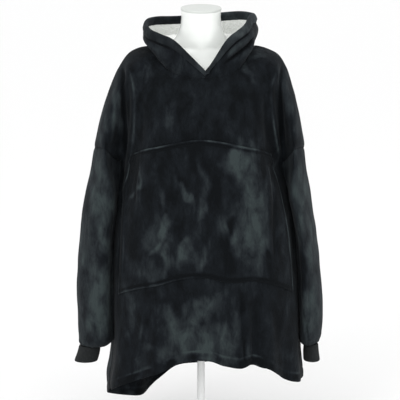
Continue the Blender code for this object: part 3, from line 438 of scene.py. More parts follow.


# %% [markdown]
# ## Creases
# The photo shows where the cloth bends most: a deep line between chest and arm on each side, soft
# ridges beside it, sags under the neck and slack above the hem. Each is a short path in a table.
# The crease's height is a bell across its path, faded at both ends. The same paths also paint
# a highlight along each ridge and shade along each groove into the colour.

# %% Crease tables and their heights
FRONT_CREASES = (            # path as (x, z), half width, height
    (((-22.2, 104.0), (-21.9, 94.0), (-21.7, 84.0), (-21.9, 76.0)), 0.8, -1.5),
    (((-20.4, 103.0), (-19.2, 98.5), (-18.7, 93.4), (-19.0, 85.1), (-20.5, 74.1), (-21.7, 64.0)), 1.1, 1.2),
    (((-17.2, 97.0), (-16.6, 88.0), (-17.2, 80.0)), 0.9, -0.4),
    (((21.4, 102.0), (20.1, 98.8), (19.6, 95.4), (20.0, 91.0), (20.8, 85.1), (22.6, 76.2)), 1.1, 1.2),
    (((22.9, 104.0), (22.3, 95.0), (22.6, 88.0), (23.4, 78.0)), 0.8, -1.5),
    (((18.2, 96.0), (18.2, 88.0), (19.4, 79.0)), 0.9, -0.5),
    (((-24.4, 96.0), (-24.6, 88.0), (-25.4, 80.0)), 1.3, 0.5),
    (((25.6, 97.0), (26.0, 89.0), (26.6, 81.0)), 1.2, 0.5),
    (((-12.5, 99.0), (-14.5, 93.0), (-15.2, 86.0)), 1.8, -0.35),
    (((13.5, 100.0), (15.0, 94.0), (15.6, 87.0)), 1.6, -0.35),
    (((-6.5, 96.0), (-8.0, 90.0), (-8.5, 85.0)), 2.2, 0.3),
    (((7.0, 96.0), (8.5, 91.0), (9.6, 85.5)), 2.0, -0.25),
    (((-21.9, 74.0), (-22.4, 66.0), (-22.8, 54.0), (-23.4, 42.0)), 1.0, -0.55),
    (((-20.6, 73.0), (-21.6, 64.0), (-22.0, 52.6), (-22.6, 42.0)), 0.8, 0.9),
    (((24.2, 73.0), (25.2, 66.0), (26.2, 55.0), (26.8, 42.0)), 0.9, -0.6),
    (((11.2, 40.0), (11.8, 30.0), (12.2, 24.8), (12.4, 19.0)), 0.7, -0.8),
    (((12.8, 40.0), (13.3, 30.0), (13.4, 19.0)), 1.0, 0.8),
    (((3.0, 41.0), (4.2, 34.0), (3.6, 26.0), (5.6, 20.0)), 1.0, -0.4),
    (((-7.0, 39.0), (-8.6, 31.0), (-9.4, 22.0)), 1.5, -0.45),
    (((-16.0, 36.0), (-17.2, 27.0), (-19.0, 16.0)), 1.6, 0.5),
    (((21.0, 35.0), (22.0, 25.0), (22.4, 15.0)), 1.2, -0.4),
)
BACK_CREASES = (
    (((-22.0, 103.0), (-21.8, 94.0), (-21.9, 85.0), (-22.2, 77.0)), 0.9, -1.0),
    (((-19.4, 100.0), (-18.9, 92.0), (-19.5, 83.0), (-20.6, 77.0)), 1.2, 0.8),
    (((22.7, 103.0), (22.3, 95.0), (22.7, 87.0), (23.4, 77.0)), 0.9, -1.0),
    (((20.4, 99.0), (19.8, 91.0), (20.6, 84.0), (22.0, 77.0)), 1.2, 0.8),
    (((-24.8, 97.0), (-25.0, 89.0), (-25.8, 80.0)), 1.2, 0.5),
    (((25.8, 97.0), (26.2, 89.0), (26.8, 81.0)), 1.2, 0.5),
    (((-12.0, 94.0), (-13.6, 84.0), (-14.2, 70.0)), 1.8, -0.5),
    (((-5.0, 92.0), (-6.2, 80.0), (-6.0, 66.0)), 1.6, 0.45),
    (((3.0, 93.0), (3.6, 82.0), (2.8, 64.0)), 1.8, -0.45),
    (((11.0, 95.0), (12.4, 84.0), (12.6, 68.0)), 1.6, 0.45),
    (((16.5, 92.0), (17.6, 82.0), (18.4, 66.0)), 1.4, -0.5),
    (((-17.5, 60.0), (-18.6, 44.0), (-19.4, 24.0)), 1.4, -0.6),
    (((-9.6, 56.0), (-10.2, 40.0), (-10.0, 18.0)), 1.3, 0.5),
    (((0.6, 60.0), (-0.6, 42.0), (-0.4, 18.0)), 1.3, -0.5),
    (((8.2, 52.0), (9.4, 36.0), (9.8, 18.0)), 1.4, 0.5),
    (((17.6, 58.0), (19.4, 40.0), (20.2, 18.0)), 1.4, -0.5),
)


def crease_height(points, table):
    """For each path, x along it is a cubic in z; height is a bell of the distance from it in x."""
    x, z = points[..., 0], points[..., 2]
    total = np.zeros(x.shape)
    for path, half_width, height in table:
        px, pz = np.array(path)[::-1].T
        middle = smooth(pz, px, np.clip(z, pz[0], pz[-1]))
        ends = ease((z - pz[0]) / 4) * ease((pz[-1] - z) / 4)
        total += height * ends * (bell((x - middle) / half_width) - 0.35 * bell((x - middle) / half_width / 2.2))
    return total


def crease_painted_light(points, table):
    """Painted highlight along each ridge's crest and painted shade along each groove: a narrow bell of the same path.
    """
    x, z = points[..., 0], points[..., 2]
    total = np.zeros(x.shape)
    for path, half_width, height in table:
        px, pz = np.array(path)[::-1].T
        off = (x - smooth(pz, px, np.clip(z, pz[0], pz[-1]))) / half_width
        ends = ease((z - pz[0]) / 4) * ease((pz[-1] - z) / 4)
        total += ends * np.where(height > 0, 0.42 * height * bell(off / 0.3), 0.35 * height * bell(off / 0.5))
    return total * (0.8 + 1.1 * swell(points, 2.6, 2.2))


# %% [markdown]
# ## Nap
# Where hands and folds have brushed the pile up the cloth looks charcoal, elsewhere nearly black.
# A few big soft patches are placed, their borders bent by the swells, so each runs into the
# next the way crushed fleece does.

# %% Nap patches
FRONT_NAP = (                # x, z, half width, half height, lean, amount
    (11.6, 78.6, 5.8, 4.0, 0.0, 0.50), (14.0, 60.5, 5.3, 17.5, -0.03, 0.52), (7.0, 58.0, 2.4, 3.6, 0.0, 0.26),
    (21.0, 67.6, 0.8, 7.0, 0.0, 0.36), (8.3, 58.2, 1.1, 2.2, 0.0, -0.45), (20.0, 49.0, 1.5, 1.8, 0.0, -0.30),
    (17.6, 75.8, 1.4, 3.4, 0.0, -0.50), (0.6, 66.0, 1.5, 11.0, 0.0, 0.34), (-5.8, 69.6, 1.1, 6.0, -0.53, 0.38),
    (-10.6, 67.0, 1.3, 5.5, -0.2, 0.28), (-10.6, 54.6, 1.5, 5.0, 0.63, 0.46), (-4.3, 51.6, 1.3, 5.0, 0.41, 0.44),
    (1.1, 50.6, 1.4, 5.0, 0.17, 0.40), (-10.3, 49.2, 1.4, 3.2, 0.0, 0.34), (-12.0, 57.5, 4.4, 5.0, 0.1, 0.24),
    (-6.0, 48.5, 9.0, 3.6, 0.0, 0.16), (-16.8, 45.4, 4.8, 4.0, 0.2, 0.34), (-18.4, 70.4, 0.8, 3.4, 0.5, 0.34),
    (-4.4, 29.6, 5.0, 7.0, 0.1, 0.36), (3.9, 27.0, 3.6, 6.0, 0.0, 0.42), (9.6, 28.4, 2.6, 6.0, 0.1, 0.30),
    (1.0, 37.4, 5.0, 2.6, 0.0, 0.36), (-10.4, 34.0, 3.6, 4.0, -0.2, 0.34), (-21.5, 34.0, 1.8, 7.0, 0.0, 0.28),
    (-11.4, 22.6, 6.0, 2.4, 0.0, 0.28), (7.0, 21.0, 7.0, 1.6, 0.0, 0.26), (22.4, 22.0, 3.6, 2.0, 0.0, 0.14),
    (-23.6, 89.0, 1.8, 6.0, 0.0, 0.36), (24.6, 91.0, 1.6, 7.0, 0.0, 0.26), (-27.4, 84.5, 2.8, 7.5, 0.0, 0.26),
    (28.6, 85.0, 2.6, 8.0, 0.0, 0.26), (-24.0, 99.0, 3.0, 4.0, 0.3, 0.14), (24.0, 99.5, 3.0, 4.0, -0.3, 0.16),
    (-24.6, 60.0, 1.6, 16.0, 0.0, 0.14), (24.6, 52.0, 1.8, 14.0, 0.0, 0.20), (-20.0, 24.0, 5.0, 6.0, 0.0, 0.12),
    (12.4, 104.0, 1.6, 2.6, 0.2, 0.32), (16.5, 106.5, 3.0, 1.6, 0.6, 0.24),
    (-1.0, 28.0, 14.0, 9.0, 0.0, 0.16), (-3.0, 52.0, 10.0, 7.0, 0.2, 0.12), (9.0, 35.0, 2.0, 4.0, 0.3, 0.22),
    (-8.0, 89.0, 4.0, 4.0, 0.0, 0.12), (7.6, 86.0, 3.0, 3.0, 0.2, 0.14), (-14.6, 101.4, 3.0, 2.0, 0.3, 0.16),
)


def brushed_at_random(points, base=0.0):
    """Hidden sides: slow swells cut off softly, so the patches have no two outlines alike."""
    slow = 1.5 * swell(points, 7.5, 1.7) + 0.7 * swell(points + 40, 3.2, 1.6) + 0.35 * swell(points, 1.5, 1.4)
    return base + 0.42 * ease(slow - 0.05)


def nap_level(points, patches, base=0.0, grain=0.24):
    """Sum of tall bells at bent places, plus slow swells; the base is the piece's own lightness."""
    bend = np.stack([swell(points, 5.0, 1.4), swell(points + 50, 5.0, 1.4)], axis=-1)
    fine = np.stack([swell(points, 1.9, 1.6), swell(points + 50, 1.9, 1.6)], axis=-1)
    x = points[..., 0] + bend[..., 0] * 2.6 + fine[..., 0] * 1.1
    z = points[..., 2] + bend[..., 1] * 3.6 + fine[..., 1] * 1.6
    total = np.full(x.shape, base)
    for px, pz, half_x, half_z, lean, amount in patches:
        off = (x - px - lean * (z - pz)) / half_x
        total += amount * ease(1.35 - np.sqrt(off**2 + ((z - pz) / half_z) ** 2))
    return total + grain * swell(points, 2.2, 1.8) * (0.5 + np.clip(total, 0, 0.6))


# %% [markdown]
# ## Front and back panels
# Both panels run from the neck seam over the drop shoulder to the armhole and down to the hem. The
# grid is dense enough for creases a centimetre wide. Next to each seam the cloth dips, because the
# stitches pull the pile down; above the hem a line of stitches holds the turned edge.

# %% Distances and seams
ARM_STEPS, TORSO_STEPS, UPPER_STEPS, LOWER_STEPS = 30, 132, 84, 120
PANEL_WALL = 0.36


def run(points, axis, backwards=False):
    """Length along the grid from its first row or column, or from its last one."""
    step = np.linalg.norm(np.diff(points, axis=axis), axis=-1)
    zero = np.zeros_like(np.take(step, [0], axis=axis))
    total = np.concatenate([zero, np.cumsum(step, axis=axis)], axis=axis)
    return np.take(total, [-1], axis=axis) - total if backwards else total


def cut_size(points, closed=False):
    """Longest row and longest column of the grid, in metres; closed goes once round a tube."""
    loop = np.concatenate([points, points[:, :1]], axis=1) if closed else points
    return tuple(round(float(run(loop, axis).max()) * CM + 0.005, 2) for axis in (1, 0))


def panel_axes():
    """Places round the body and rows down it, closer together where the shape turns quickly."""
    arm = np.linspace(1.0, SEAM_AT, ARM_STEPS + 1)
    torso = np.linspace(-1.0, 1.0, TORSO_STEPS + 1)
    place = np.concatenate([-arm[::-1], torso[1:-1], arm])
    row = np.concatenate([np.linspace(0, 6, UPPER_STEPS + 1), np.linspace(6, 7, LOWER_STEPS + 1)[1:]])
    return place, row


def dressed_panel(back):
    """The panel's points with seam dips, creases and swells, and the faces that belong to it."""
    place, row = panel_axes()
    points = panel_points(back, place, row)
    columns = len(place)
    faces = grid_faces(len(row), columns)
    r, c = faces[:, 0] // columns, faces[:, 0] % columns
    torso_from, torso_to = ARM_STEPS, ARM_STEPS + TORSO_STEPS
    faces = faces[(r < UPPER_STEPS) | ((c >= torso_from) & (c < torso_to))]
    if back:
        faces = faces[:, ::-1]
    normals = point_normals(points, faces)
    top = slice(0, UPPER_STEPS + 1)
    dip = bell(run(points, 0) / 0.7)
    shoulder = np.minimum(run(points[top], 1), run(points[top], 1, True))
    dip[top] += bell(shoulder / 0.6)
    arm = np.r_[0:torso_from + 1, torso_to:columns]
    dip[top, arm] += bell(run(points[top][:, arm], 0, True) / 0.7)
    skirt = slice(UPPER_STEPS, len(row))
    torso = slice(torso_from, torso_to + 1)
    side = np.minimum(run(points[skirt, torso], 1), run(points[skirt, torso], 1, True))
    dip[skirt, torso] += 0.4 * bell(side / 0.6)
    to_hem = run(points[skirt, torso], 0, True)
    hem = np.zeros(dip.shape)
    hem[skirt, torso] = bell((to_hem - 2.7) / 0.28) - 0.5 * bell((to_hem - 1.35) / 1.1)
    height = -0.22 * dip - 0.14 * hem + crease_height(points, BACK_CREASES if back else FRONT_CREASES)
    height += (0.26 * swell(points, 7.0, 1.6) + 0.10 * swell(points, 2.6, 1.8)) * ease((1.6 - dip) / 1.2)
    height *= ease(run(points, 0) / 1.5) * 0.8 + 0.2
    dressed = points + normals * height[..., None]
    dressed[0] += 0.3 * unit(points[0] - points[1]) - 0.1 * normals[0]
    return dressed, faces, hem * (0.25 + 0.5 * swell(points, 2.0))


FRONT, FRONT_FACES, FRONT_HEM_NAP = dressed_panel(False)
BACK, BACK_FACES, BACK_HEM_NAP = dressed_panel(True)
# Colour: nap patches and hem stitching, plus painted highlight on the crease ridges and painted shade in the grooves.
front_panel = cloth("front_panel_plush", FRONT, FRONT_FACES, PANEL_WALL, FLANNEL,
                    nap_level(FRONT, FRONT_NAP, 0.05) + crease_painted_light(FRONT, FRONT_CREASES) + FRONT_HEM_NAP)
back_panel = cloth("back_panel_plush", BACK, BACK_FACES, PANEL_WALL, FLANNEL,
                   brushed_at_random(BACK) + crease_painted_light(BACK, BACK_CREASES) + BACK_HEM_NAP)
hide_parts("front_panel")
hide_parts("back_panel")
SHEETS = []                  # object, size and area of its cut, what it lies on
torso = slice(ARM_STEPS, ARM_STEPS + TORSO_STEPS + 1)
for piece, points, faces in ((front_panel, FRONT, FRONT_FACES), (back_panel, BACK, BACK_FACES)):
    wide = max(cut_size(points[:UPPER_STEPS + 1])[0], cut_size(points[:, torso])[0])
    SHEETS.append((piece, ((wide, cut_size(points)[1]), skin_area(points, faces)), ["form_torso_shell"]))
print("front and back:", [cut for _, cut, _ in SHEETS])

# %% [markdown]
# ## Sleeves
# The sleeve is a tube from the armhole seam to the cuff. It hangs empty beside the body, flattened
# by its own weight, and gathers where the rib cuff draws it in. Its first ring is the armhole
# itself, so the drop shoulder and the sleeve meet without a step.

# %% Sleeve tables and points
SLEEVE_SECTIONS = {          # height, outer edge, inner edge, half depth, middle of the depth
    "right": np.array((
        (74.0, 31.7, 23.4, 8.3, 0.0), (68.0, 33.3, 23.9, 8.2, -0.1), (60.0, 34.9, 24.7, 8.0, -0.3),
        (52.0, 35.8, 25.5, 7.8, -0.5), (44.0, 36.4, 25.8, 7.6, -0.7), (37.0, 36.8, 25.9, 7.5, -0.9),
        (30.0, 36.7, 26.2, 7.3, -1.1), (26.5, 36.6, 26.1, 7.0, -1.2), (23.6, 36.4, 26.2, 6.2, -1.3),
        (21.9, 36.2, 27.2, 4.8, -1.3), (20.9, 35.9, 29.4, 3.1, -1.3))),
    "left": np.array((
        (74.0, 30.7, 23.8, 8.4, 0.0), (68.0, 31.7, 24.8, 8.6, -0.1), (60.0, 33.0, 26.0, 8.6, -0.3),
        (52.0, 34.4, 27.2, 8.6, -0.5), (44.0, 35.3, 28.0, 8.4, -0.7), (37.0, 36.0, 28.5, 8.2, -0.9),
        (30.0, 36.3, 29.2, 7.8, -1.1), (26.5, 36.1, 29.3, 7.2, -1.2), (23.8, 35.7, 29.4, 6.2, -1.3),
        (22.5, 35.1, 29.7, 4.8, -1.3), (21.5, 34.5, 30.1, 3.1, -1.3))),
}
SLEEVE_FOLDS = {             # place round from the body side, lean to the front, top, bottom, width, height
    "right": ((0.42, 0.10, 70.0, 24.0, 0.16, 0.7), (0.70, -0.12, 60.0, 24.0, 0.16, -0.6),
              (-0.45, 0.10, 72.0, 26.0, 0.16, 0.8), (-0.72, 0.05, 66.0, 30.0, 0.16, -0.7),
              (0.16, 0.06, 62.0, 22.0, 0.07, -0.55), (0.56, 0.02, 74.0, 46.0, 0.07, -0.4),
              (0.30, 0.30, 36.0, 22.0, 0.06, -0.45), (0.62, -0.20, 33.0, 21.5, 0.05, -0.5)),
    "left": ((0.36, 0.10, 70.0, 26.0, 0.16, -0.6), (0.62, 0.10, 44.0, 22.0, 0.16, -0.9),
             (-0.40, 0.08, 72.0, 26.0, 0.16, 0.8), (-0.66, 0.06, 62.0, 30.0, 0.16, -0.8),
             (0.20, 0.06, 60.0, 24.0, 0.07, -0.5), (0.50, -0.06, 74.0, 50.0, 0.07, -0.4),
             (0.72, -0.34, 42.0, 24.0, 0.05, -0.7), (0.34, 0.24, 32.0, 21.5, 0.05, -0.5)),
}
SLEEVE_STEPS = 150
SLEEVE_WALL = 0.34


def sleeve_points(side):
    """Rings whose height runs from the armhole to the cuff; x and y follow a leaning flat oval."""
    key = "left" if side > 0 else "right"
    arm = np.linspace(1.0, SEAM_AT, ARM_STEPS + 1)
    seam = panel_points(False, side * arm, np.array([6.0]))[0]
    behind = panel_points(True, side * arm[::-1], np.array([6.0]))[0]
    ring = np.concatenate([seam, behind[1:]])
    half_way = np.linspace(0.04, 1.0, ARM_STEPS + 1)
    way = np.concatenate([half_way, -half_way[-2::-1]])
    even = np.linspace(0, 1, SLEEVE_STEPS + 1)
    share = 0.35 * (1 - np.cos(even * math.pi / 2)) + 0.65 * even
    share = (1 - (1 - share) ** 1.12)[:, None]
    table = SLEEVE_SECTIONS[key][::-1]
    z = ring[None, :, 2] + (table[0, 0] - ring[None, :, 2]) * share
    outer, inner, deep, mid = (smooth(table[:, 0], table[:, k], z) for k in (1, 2, 3, 4))
    body = FRONT[UPPER_STEPS:, ARM_STEPS + (TORSO_STEPS if side > 0 else 0)][::-1]
    inner = np.maximum(inner, np.interp(z, body[:, 2], np.abs(body[:, 0])) - 0.35)
    lift = np.zeros(z.shape)
    for at, lean, high, low, width, height in SLEEVE_FOLDS[key]:
        along = np.clip((high - z) / (high - low), 0.0, 1.0)
        lift += height * np.sin(along * math.pi) * bell((way - at - lean * along) / width)
    half, angle = (outer - inner) / 2, way * math.pi
    flat_half = np.sqrt(np.maximum(half**2 - (SIDE_LEAN * deep) ** 2, 1.0))
    x = side * ((outer + inner) / 2 - (flat_half + lift) * np.cos(angle))
    y = mid - (deep + lift) * np.sin(angle)
    blend = ease(share / 0.22)
    start = np.abs(ring[:, 0])
    start_half, start_mid = (start.max() - start.min()) / 2, (start.max() + start.min()) / 2
    same_x = side * ((outer + inner) / 2 + (start - start_mid) * half / start_half)
    same_y = mid + ring[:, 1] * deep / np.abs(ring[:, 1]).max()
    y = same_y * (1 - blend) + y * blend
    x = same_x * (1 - blend) + x * blend + side * SIDE_LEAN * y * blend
    x = x - side * 0.4 * bell(way / 0.14)
    return np.stack([x, y, z], axis=-1), way


# %% Sleeves in flannel fleece
# Nap patches; the darker entries at each sleeve's inner edge, beside the body, are painted shade between sleeve and
# body.
SLEEVE_NAP_AND_PAINTED_SHADE = {
    "right": ((-28.8, 62.0, 3.0, 12.0, 0.0, 0.28), (-29.5, 36.0, 4.5, 11.0, 0.0, 0.34),
              (-33.5, 48.0, 2.0, 8.0, 0.0, 0.16), (-26.0, 52.0, 1.4, 9.0, 0.0, -0.22),
              (-30.0, 50.0, 1.6, 4.0, 0.0, -0.16), (-31.0, 41.0, 2.4, 2.0, 0.0, -0.14)),
    "left": ((28.6, 66.0, 2.4, 10.0, 0.0, 0.18), (32.4, 56.0, 2.2, 10.0, 0.0, 0.20),
             (31.0, 34.0, 3.4, 9.0, 0.0, 0.20), (28.8, 46.0, 1.6, 9.0, 0.0, -0.28),
             (33.6, 44.0, 1.6, 3.0, 0.0, -0.14)),
}
for side, key in ((-1.0, "right"), (1.0, "left")):
    points, way = sleeve_points(side)
    faces = grid_faces(*points.shape[:2], closed=True)
    faces = faces[:, [0, 3, 2, 1]] if side < 0 else faces
    normals = point_normals(points, faces)
    down, up = run(points, 0), run(points, 0, True)
    pulled = ease((5.0 - up) / 5.0)
    ripple = 0.16 * np.sin(way * math.pi * 15 + 2 * swell(points, 4.0)) + 0.10 * np.sin(way * math.pi * 23)
    height = -0.2 * bell(down / 0.7) - 0.2 * bell(up / 0.5) + ripple * pulled * ease(up / 0.8)
    height += 0.24 * swell(points, 6.0, 1.8) + 0.10 * swell(points, 2.4, 1.8)
    points = points + normals * height[..., None]
    sleeve = cloth("sleeve_%s_plush" % key, points, faces, SLEEVE_WALL, FLANNEL,
                   nap_level(points, SLEEVE_NAP_AND_PAINTED_SHADE[key], 0.30))
    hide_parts("sleeve_" + key)
    SHEETS.append((sleeve, (cut_size(points, True), skin_area(points, faces)),
                   ["front_panel_plush", "back_panel_plush"]))
print("sleeves:", [cut for _, cut, _ in SHEETS[-2:]])

# %% [markdown]
# ## Pouch pocket
# One big piece is sewn on the front along all four sides, with the hands going in near the top at
# the sides. It is made from the panel's own points, moved out by its thickness and a little more in
# the middle, so it follows every fold under it. A row of stitches holds its edges down.

# %% Pocket
POCKET_HALF, POCKET_ROWS = 8 / 11, (5.0, 6 + 8 / 14)
POCKET_WALL = 0.34


def pocket_points():
    """Panel points inside the pocket's outline, moved out along the panel's normals."""
    place = np.linspace(-POCKET_HALF, POCKET_HALF, 141)
    row = np.concatenate([np.linspace(POCKET_ROWS[0], 6, 50), np.linspace(6, POCKET_ROWS[1], 111)[1:]])
    base = panel_points(False, place, row)
    faces = grid_faces(len(row), len(place))
    out = point_normals(base, faces)
    side = np.minimum(run(base, 1), run(base, 1, True))
    ends = np.minimum(run(base, 0), run(base, 0, True))
    edge = np.minimum(side, ends)
    full = np.outer(np.sin(np.linspace(0, math.pi, len(row))), np.sin(np.linspace(0, math.pi, len(place))))
    gape = bell((row[:, None] - 5.55) / 0.3) * bell(side / 2.0)
    stitches = bell((edge - 0.9) / 0.22)
    height = POCKET_WALL + 0.06 + 0.5 * full - 0.08 * bell(edge / 0.25) - 0.16 * stitches + 0.45 * gape
    height += crease_height(base, FRONT_CREASES) * 0.8 + crease_height(base, POCKET_CREASES)
    height += (0.26 * swell(base, 7.0, 1.6) + 0.10 * swell(base, 2.6, 1.8)) * ease(edge / 3.0)
    return base + out * np.maximum(height, 0.2)[..., None], faces, ends, side


POCKET_CREASES = (
    (((-17.6, 75.0), (-18.4, 70.0), (-18.6, 63.0)), 0.7, -0.6),
    (((-15.9, 76.0), (-17.0, 70.0), (-17.0, 62.0)), 0.9, 0.4),
    (((19.6, 77.0), (20.0, 69.0), (20.4, 60.0), (20.6, 48.0)), 0.7, -0.55),
    (((18.2, 76.0), (18.4, 66.0), (18.8, 50.0)), 1.0, 0.4),
    (((-5.0, 74.0), (-6.8, 68.0), (-8.4, 62.0)), 1.0, -0.3),
    (((1.6, 70.0), (1.2, 58.0), (0.2, 47.5)), 1.2, 0.35),
    (((8.0, 66.0), (7.4, 56.0), (6.2, 47.5)), 1.3, -0.35),
    (((-10.0, 58.0), (-9.2, 51.0), (-10.4, 45.0)), 1.2, 0.35),
)
points, faces, ends, side = pocket_points()
cut = (cut_size(points), skin_area(points, faces))
# Painted light on the pocket: painted highlight along the raised top and side edges, stronger on the wearer's left;
# painted shade along the stitch grooves and beside the side edges; painted shadow under the bottom edge, deeper on the
# wearer's left; and the creases' painted highlight and shade.
low = np.linspace(-1.0, 1.0, len(points))[:, None] > 0
line = np.where(low, -0.1 - 0.35 * np.tanh(points[..., 0] / 6.0), 0.40 + 0.65 * swell(points, 2.4))
brushed = line * bell((ends - 0.2) / 0.35) - 0.3 * bell((ends - 1.0) / 0.4)
brushed += (0.5 + 0.15 * np.tanh(points[..., 0] / 4) + 0.4 * swell(points, 3.0)) * bell((side - 0.25) / 0.35)
brushed += crease_painted_light(points, POCKET_CREASES) - 0.35 * bell((side - 1.1) / 0.5) + crease_painted_light(points, FRONT_CREASES)
pocket = cloth("pocket_plush", points, faces, POCKET_WALL - 0.02, FLANNEL, nap_level(points, FRONT_NAP, 0.03) + brushed)
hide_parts("pocket")
SHEETS.append((pocket, cut, ["front_panel_plush"]))
print("pocket:", cut)

# %% [markdown]
# ## Rib cuffs
# The cuffs are a short rib knit tube: upright ribs with narrow valleys between, stretchy, so the
# wide sleeve gathers into them. A rib is a raised cosine carried round the oval of the wrist.

# %% Rib knit material
def rib_knit():
    """Matt spun yarn: dark colour, fine bump across and along."""
    material, shader = finish("acrylic rib knit", Roughness=0.9, Sheen_Weight=0.12, Specular_IOR_Level=0.15)
    place = add(material, "ShaderNodeTexCoord").outputs["Object"]
    yarn = add(material, "ShaderNodeTexNoise", {"Scale": 420.0, "Detail": 3.0}, {"Vector": place})
    tone = add(material, "ShaderNodeValToRGB", {"stops": ((0.25, "#0d0f10"), (0.8, "#2a2d2e"))},
               {"Fac": yarn.outputs["Fac"]})
    material.node_tree.links.new(tone.outputs["Color"], shader.inputs["Base Color"])
    bump = add(material, "ShaderNodeBump", {"Strength": 0.5, "Distance": 0.001}, {"Height": yarn.outputs["Fac"]})
    material.node_tree.links.new(bump.outputs[0], shader.inputs["Normal"])
    return material


RIB_KNIT = rib_knit()

# %% Cuffs
CUFF_SECTIONS = {            # height, outer edge, inner edge, half depth
    "right": np.array(((20.95, 35.8, 29.5, 3.05), (19.0, 36.3, 29.7, 3.1), (16.3, 37.3, 30.4, 3.2))),
    "left": np.array(((21.55, 34.4, 30.2, 3.05), (19.4, 34.6, 30.0, 3.1), (16.5, 35.0, 30.1, 3.2))),
}
CUFF_RIBS, RIB_HEIGHT = 46, 0.11
for side, key in ((-1.0, "right"), (1.0, "left")):
    table = CUFF_SECTIONS[key][::-1]
    angle = np.arange(CUFF_RIBS * 8) * 2 * math.pi / (CUFF_RIBS * 8)
    z = np.linspace(table[-1, 0], table[0, 0], 26)[:, None]
    outer, inner, deep = (smooth(table[:, 0], table[:, k], z) for k in (1, 2, 3))
    ends = np.minimum(z - z.min(), z.max() - z)
    rib = RIB_HEIGHT * (np.abs(np.cos(angle * CUFF_RIBS / 2)) ** 0.7 - 1) - 0.12 * bell(ends / 0.18)
    half = (outer - inner) / 2
    points = np.stack([side * (outer + inner) / 2 + (half + rib) * np.cos(angle),
                       -1.3 + (deep + rib) * np.sin(angle), np.broadcast_to(z, rib.shape)], axis=-1)
    faces = grid_faces(*points.shape[:2], closed=True)
    cuff = cloth("cuff_%s_rib" % key, points, faces, 0.28, RIB_KNIT)
    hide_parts("cuff_" + key)
    SHEETS.append((cuff, (cut_size(points, True), skin_area(points, faces)), ["sleeve_%s_plush" % key]))
print("cuffs:", [cut for _, cut, _ in SHEETS[-2:]])

# %% [markdown]
# ## Hood
# The hood lies down. Its front edges rise from the V at the neck and roll outwards, and the rest
# hangs as a pouch behind the shoulders. One profile from neck seam to rim, given a share of pouch
# and of roll that changes round the neck, makes both the collar in front and the pouch behind.

# %% Hood tables
HOOD_RIM = {                 # seam line where the edge band starts, and the band's folded rim
    "right": (
        ((1.1, -9.9, 100.5), (1.5, -10.4, 102.0)), ((6.9, -9.3, 107.0), (6.5, -8.8, 109.5)),
        ((12.2, -7.0, 109.6), (11.5, -6.2, 112.0)), ((15.4, -4.0, 110.9), (14.6, -3.6, 113.3)),
        ((16.4, 2.0, 112.2), (16.0, 2.0, 114.8)), ((16.2, 7.2, 113.5), (15.4, 6.6, 115.9)),
        ((14.0, 11.4, 114.1), (13.1, 10.4, 116.4)), ((7.6, 14.2, 114.3), (7.2, 13.0, 116.5)),
        ((0.2, 15.0, 114.7), (0.2, 13.8, 116.9))),
    "left": (
        ((1.1, -9.9, 100.5), (1.5, -10.4, 102.0)), ((8.0, -9.3, 107.2), (6.6, -9.0, 109.8)),
        ((11.9, -7.2, 110.8), (10.6, -6.5, 113.2)), ((13.9, -4.2, 112.6), (12.9, -3.6, 115.0)),
        ((14.9, 2.0, 114.4), (14.3, 2.0, 117.0)), ((16.2, 7.9, 114.9), (15.2, 7.1, 117.4)),
        ((13.4, 11.4, 115.6), (12.3, 10.4, 117.9)), ((7.2, 14.2, 115.3), (6.8, 13.0, 117.6)),
        ((0.2, 15.0, 114.7), (0.2, 13.8, 116.9))),
}
RIM_AT = (0.0, 0.42, 1.0, 1.35, 1.7, 2.05, 2.4, 2.98, 3.4)
POUCH_OUT_SHARE = (0.0, 0.0, 0.0, 0.0, 0.03, 0.2, 0.74, 0.96, 1.0)
POUCH_DROP_SHARE = (0.0, 0.0, 0.0, 0.0, 0.0, 0.04, 0.36, 0.84, 1.0)
COLLAR_SHARE = (0.0, 0.3, 0.7, 0.8, 0.6, 0.3, 0.1, 0.0, 0.0)
HOOD_PROFILE = np.array((    # share of the way, pouch out, pouch up, collar roll
    (0.00, 0.0, 0.0, 0.0), (0.06, 0.6, 1.8, 0.4), (0.12, 1.8, 2.5, 0.9), (0.20, 2.3, 1.0, 1.3),
    (0.30, 1.7, -4.7, 1.5), (0.40, 2.1, -11.4, 1.4), (0.50, 3.0, -17.4, 1.2), (0.58, 5.2, -19.7, 1.0),
    (0.68, 7.0, -16.2, 0.9), (0.80, 6.6, -10.3, 0.7), (0.91, 4.1, -4.4, 0.4), (1.00, 0.0, 0.0, 0.0)))
BAND_NARROW = {"left": 0.28, "right": 0.1}   # in front the band is narrower by this share
HOOD_FOLDS = {               # lies along the band: place from, to, share of the way up, height
    "left": ((0.25, 1.5, 0.80, 0.12, 0.6), (0.25, 1.5, 0.60, 0.07, -0.9), (0.4, 1.4, 0.36, 0.14, 0.4),
             (0.2, 1.4, 0.95, 0.035, -0.6)),
    "right": ((0.5, 1.5, 0.93, 0.05, -0.7), (0.5, 1.8, 0.62, 0.16, 0.4), (0.9, 2.0, 0.3, 0.12, -0.4)),
}
HOOD_ROWS, HOOD_COLUMNS = 14, 16
HOOD_WALL, LINING_WALL = 0.28, 0.4


